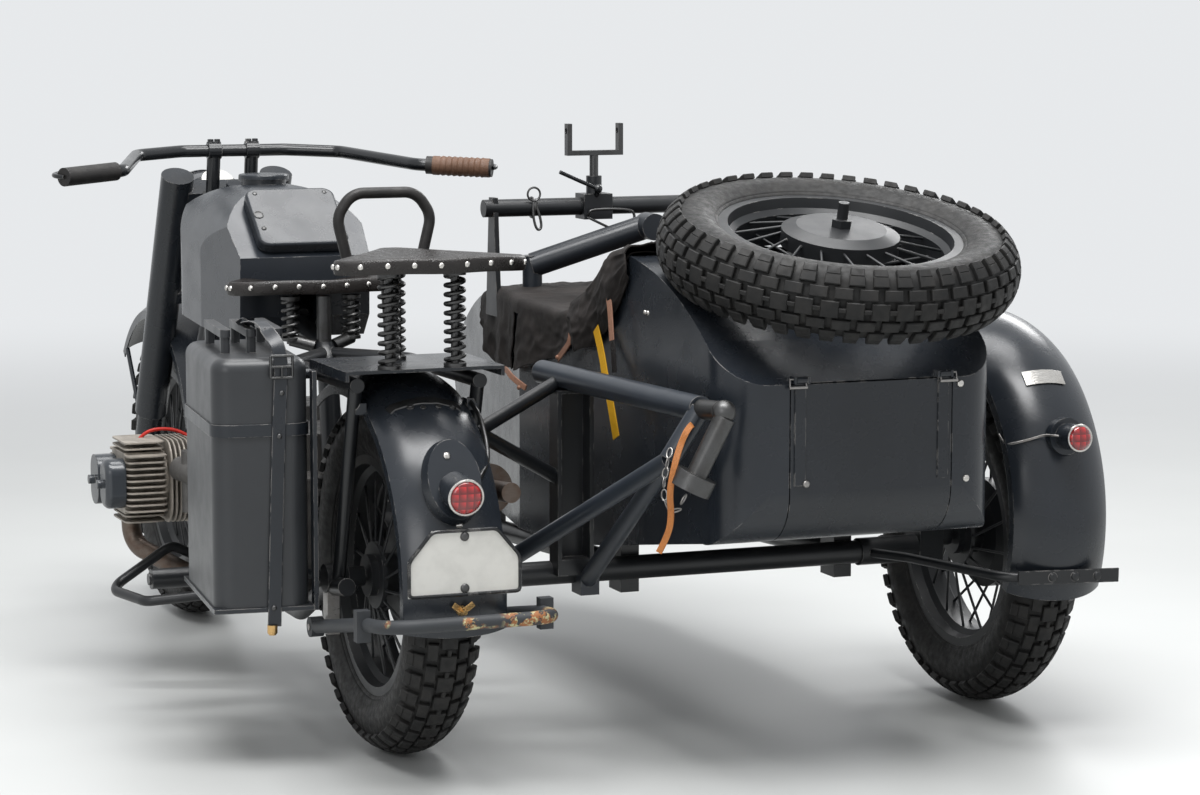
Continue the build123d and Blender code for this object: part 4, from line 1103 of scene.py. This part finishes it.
def build_hand_fittings():
    """Worn leather sleeve on the right grip, the handlebar's clamps and the hand levers."""
    sleeve = bmesh.new()
    start = at(430, 690, 1004)
    end = at(330, 747.7, 1008.6)
    axis = (end - start).normalized()
    side = axis.orthogonal().normalized()
    rings = []
    for k in range(31):
        creased = 0.0012 * math.sin(k * 2.1) if 3 < k < 28 else 0.0
        spokes = circle(0.0192 + creased, 0, 24, side, axis.cross(side))
        rings.append([sleeve.verts.new(start.lerp(end, k / 30) + spoke) for spoke in spokes])
    join_rings(sleeve, rings, capped=True)
    make_piece("worn_sleeve", sleeve, "steering", "worn_grip")
    bolts = bmesh.new()
    collar = [(0, 0), (0.0165, 0), (0.0175, 0.001), (0.0175, 0.027), (0.0165, 0.028), (0, 0.028)]
    for _, side in LEFT_RIGHT:
        turned_solid(bolts, frame_at(at(side * 26, 1062, 1030), (side, 0, 0)), collar, 32)
        for x in (33, 47):
            hex_bolt(bolts, (side * x, 1062, 1047), UP, 0.013, 0.007)
    make_piece("clamp_bolts", bolts, "steering", "gloss_black", smooth=20)
    lever = ((434, 686, 1004), (447, 694, 1005), (448, 722, 1007), (420, 757, 1009), (372, 796, 1012),
             (338, 818, 1014))
    for name, side in LEFT_RIGHT:
        points = [(side * x, y, z) for x, y, z in lever]
        tube_piece(f"{name}_lever", points, 0.0045, "steering", "gloss_black")


def build_rail_fittings():
    """Locking lever, wire guard and hanging clip of the front rail."""
    lever = bmesh.new()
    elbow = (677, 727, 955)
    rod(lever, (677, 742, 936), elbow, 0.006, 14)
    sweep_tube(lever, [at(592, 722, 991), at(640, 723, 970), at(*elbow)], 0.0042, 12)
    ball = [(0.0095 * math.sin(a), -0.0095 * math.cos(a)) for a in spread(0, math.pi, 11)]
    turned_solid(lever, frame_at(at(*elbow), UP), ball, 20)
    make_piece("rail_lever", lever, "machine", "gloss_black")
    wires = bmesh.new()
    for points in (((657, 737, 900), (657, 725, 903), (660, 724, 914), (748, 724, 912), (757, 724, 900),
                    (755, 724, 888), (740, 726, 886)),
                   ((657, 737, 897), (663, 726, 893), (742, 724, 855))):
        sweep_tube(wires, smooth_line(points), 0.0028, 8)
    make_piece("rail_wires", wires, "machine", "dark_steel")
    clip = bmesh.new()
    ring(clip, (545, 760, 918), (1, 0, 0), 0.02, 0.0026)
    ring(clip, (543, 742, 946), (0, 1, 0), 0.0135, 0.0022)
    loop = ((543, 743, 932), (538, 739, 912), (546, 737, 872), (559, 737, 876), (553, 738, 908),
            (545, 743, 930))
    sweep_tube(clip, smooth_line(loop), 0.0028, 8)
    make_piece("rail_clip", clip, "machine", "dark_steel")


def build_lid_fittings():
    """Rivets and lock of the toolbox lid."""
    mesh = bmesh.new()
    normal = Vector((0, -0.62, 0.78))
    for spot in ((-74, 566, 905), (74, 566, 905), (-70, 644, 966.8), (70, 644, 966.8)):
        round_rivet(mesh, spot, normal, 0.005, 0.0022, 0, 14)
    ring(mesh, (-76, 596, 929), normal, 0.0085, 0.0016, 0, 24)
    turned_solid(mesh, frame_at(at(-76, 596, 928), normal), [(0.0075, 0), (0.0075, 0.001), (0, 0.001)], 20, 1)
    make_piece("lid_rivets", mesh, "toolbox_lid", "dark_steel", "gloss_black")


# stage

HAZE = (0.93, 0.95, 0.97, 1)
HAZE_STRENGTH = 0.86
FLOOR_REACH = 30
HAZE_STARTS, HAZE_FULL = 1.9, 7.5
CAMERA_PLACE = (-2.2052, -6.1418, 1.3667)
CAMERA_TURN = (82.91, 0, -21.4)
CAMERA_LENS = 99.31


def seen_by_camera(tree):
    """1 for what the camera sees, itself or in gloss, and 0 for light that falls on a surface."""
    rays = add_node(tree, "LightPath").outputs
    ends = {0: rays["Is Camera Ray"], 1: rays["Is Glossy Ray"]}
    return add_node(tree, "Math", ends, operation="MAXIMUM").outputs[0]


def lay_floor(studio):
    """Large plain floor that fades into the pale haze of the backdrop far from the middle."""
    mesh = bmesh.new()
    for x, y in ((-1, -1), (1, -1), (1, 1), (-1, 1)):
        mesh.verts.new((x * FLOOR_REACH, y * FLOOR_REACH, 0))
    mesh.faces.new(mesh.verts[:])
    data = bpy.data.meshes.new("floor")
    mesh.to_mesh(data)
    mesh.free()
    floor = bpy.data.objects.new("floor", data)
    bpy.context.scene.collection.objects.link(floor)
    ground = Finish("floor", 0.4)
    tone = tuple(studio.floor)
    ground.colour(ground.mix(ground.patches(0.7, 0.35, 0.65, detail=4), tone, shade(tone, 0.94)))
    away = ground.add("VectorMath", {0: ground.place}, operation="LENGTH").outputs["Value"]
    far = ground.add("MapRange", {0: away, 1: HAZE_STARTS, 2: HAZE_FULL},
                     interpolation_type="SMOOTHSTEP").outputs[0]
    haze = ground.add("Emission", {"Color": HAZE, "Strength": HAZE_STRENGTH}).outputs[0]
    share = ground.times(far, seen_by_camera(ground.tree))
    joined = ground.add("MixShader", {0: share, 1: ground.shader.outputs[0], 2: haze})
    ground.tree.links.new(joined.outputs[0], ground.output.inputs[0])
    use_finish(floor, "floor")


def light_world(scene, studio):
    """Even light from all round, behind which the camera sees the haze."""
    scene.world = bpy.data.worlds.new("studio")
    scene.world.use_nodes = True
    tree = scene.world.node_tree
    tree.nodes.clear()
    strength = add_node(tree, "MapRange", {0: seen_by_camera(tree), 3: studio.sky, 4: HAZE_STRENGTH})
    back = add_node(tree, "Background", {"Color": HAZE, "Strength": strength.outputs[0]})
    add_node(tree, "OutputWorld", {"Surface": back.outputs[0]}).is_active_output = True


def hang_lamps(scene, studio):
    """Large soft lamps: place, aim, power and size of each."""
    for name, place, target, power, size in (
        ("key", (-0.6, -1.6, 4.2), (0.1, 0.0, 0.4), studio.key, (3.4, 1.6)),
        ("fill", (-4.2, -4.6, 2.6), (0.0, 0.0, 0.5), studio.fill, (2.2, 2.2)),
        ("top", (0.4, 0.5, 4.3), (0.0, 0.1, 0.4), studio.key * 0.36, (2.6, 1.2)),
        ("rim", (3.4, 2.8, 3.0), (0.0, 0.0, 0.5), studio.fill * 1.2, (2.0, 1.2)),
    ):
        lamp = bpy.data.lights.new(name, "AREA")
        lamp.shape = "RECTANGLE"
        lamp.size, lamp.size_y = size
        lamp.energy = power
        holder = bpy.data.objects.new(name, lamp)
        holder.location = place
        holder.rotation_euler = (Vector(target) - Vector(place)).to_track_quat("-Z", "Y").to_euler()
        scene.collection.objects.link(holder)


def place_camera(scene):
    camera = bpy.data.cameras.new("camera")
    camera.lens = CAMERA_LENS
    camera.sensor_width = 36
    camera.clip_end = 100
    holder = bpy.data.objects.new("camera", camera)
    holder.location = CAMERA_PLACE
    holder.rotation_euler = [math.radians(angle) for angle in CAMERA_TURN]
    scene.collection.objects.link(holder)
    scene.camera = holder


# operators


class SIDECAR_OT_finishes(bpy.types.Operator):
    """Makes every finish and gives each CAD node its own"""
    bl_idname = "sidecar.finishes"
    bl_label = "Finishes"

    def execute(self, context):
        make_finishes()
        finish_of_node = {node: finish for finish, nodes in NODES_OF_FINISH.items() for node in nodes}
        for name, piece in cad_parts.items():
            if name not in finish_of_node:
                raise RuntimeError(f"no finish is named for {name}")
            use_finish(piece, finish_of_node[name])
        return {"FINISHED"}


class SIDECAR_OT_tyres(bpy.types.Operator):
    """Builds the four tyres with their tread"""
    bl_idname = "sidecar.tyres"
    bl_label = "Tyres"

    def execute(self, context):
        for name in BODY_OF_WHEEL:
            build_tyre(name)
        return {"FINISHED"}


class SIDECAR_OT_saddles(bpy.types.Operator):
    """Builds the two leather saddles and their springs"""
    bl_idname = "sidecar.saddles"
    bl_label = "Saddles"

    def execute(self, context):
        build_saddle("front_saddle", 480, 812)
        build_saddle("rear_saddle", -215, 906)
        build_springs()
        return {"FINISHED"}


class SIDECAR_OT_canvas(bpy.types.Operator):
    """Builds the seat cushions, the cockpit cover, its folded flap and its straps"""
    bl_idname = "sidecar.canvas"
    bl_label = "Canvas"

    def execute(self, context):
        for build in (build_seat, build_canvas, build_flap, build_webbing):
            build()
        return {"FINISHED"}


class SIDECAR_OT_fittings(bpy.types.Operator):
    """Builds the lenses, dial, plate rim, wires, bolts, catches and other small fittings"""
    bl_idname = "sidecar.fittings"
    bl_label = "Fittings"

    def execute(self, context):
        for build in (build_plate, build_lenses, build_dial, build_can_strap, build_side_fittings,
                      build_tail_fittings, build_hand_fittings, build_rail_fittings, build_lid_fittings):
            build()
        return {"FINISHED"}


class SIDECAR_OT_stage(bpy.types.Operator):
    """Sets the floor, the lamps and the camera"""
    bl_idname = "sidecar.stage"
    bl_label = "Stage"

    def execute(self, context):
        scene = context.scene
        studio = scene.sidecar_studio
        scene.view_settings.view_transform = "Standard"
        lay_floor(studio)
        light_world(scene, studio)
        hang_lamps(scene, studio)
        place_camera(scene)
        return {"FINISHED"}


class SIDECAR_PT_panel(bpy.types.Panel):
    """Lists the steps and their settings"""
    bl_label = "Sidecar motorcycle"
    bl_idname = "SIDECAR_PT_panel"
    bl_space_type = "VIEW_3D"
    bl_region_type = "UI"
    bl_category = "Sidecar"

    def draw(self, context):
        layout = self.layout
        for name in SETTINGS:
            settings = getattr(context.scene, name)
            column = layout.column(heading=name)
            for setting in settings.__annotations__:
                column.prop(settings, setting)
        for step in STEPS:
            layout.operator(step.bl_idname)


SETTINGS = {"sidecar_colours": PaintColours, "sidecar_tyres": TyreSizes, "sidecar_studio": StudioSettings}
STEPS = (SIDECAR_OT_finishes, SIDECAR_OT_tyres, SIDECAR_OT_saddles, SIDECAR_OT_canvas, SIDECAR_OT_fittings,
         SIDECAR_OT_stage)
CLASSES = (*SETTINGS.values(), *STEPS, SIDECAR_PT_panel)


def register():
    for item in CLASSES:
        bpy.utils.register_class(item)
    for name, group in SETTINGS.items():
        setattr(bpy.types.Scene, name, PointerProperty(type=group))


def unregister():
    for name in SETTINGS:
        delattr(bpy.types.Scene, name)
    for item in reversed(CLASSES):
        bpy.utils.unregister_class(item)


def main():
    register()
    for step in STEPS:
        group, name = step.bl_idname.split(".")
        getattr(getattr(bpy.ops, group), name)()


if __name__ == "__main__":
    main()
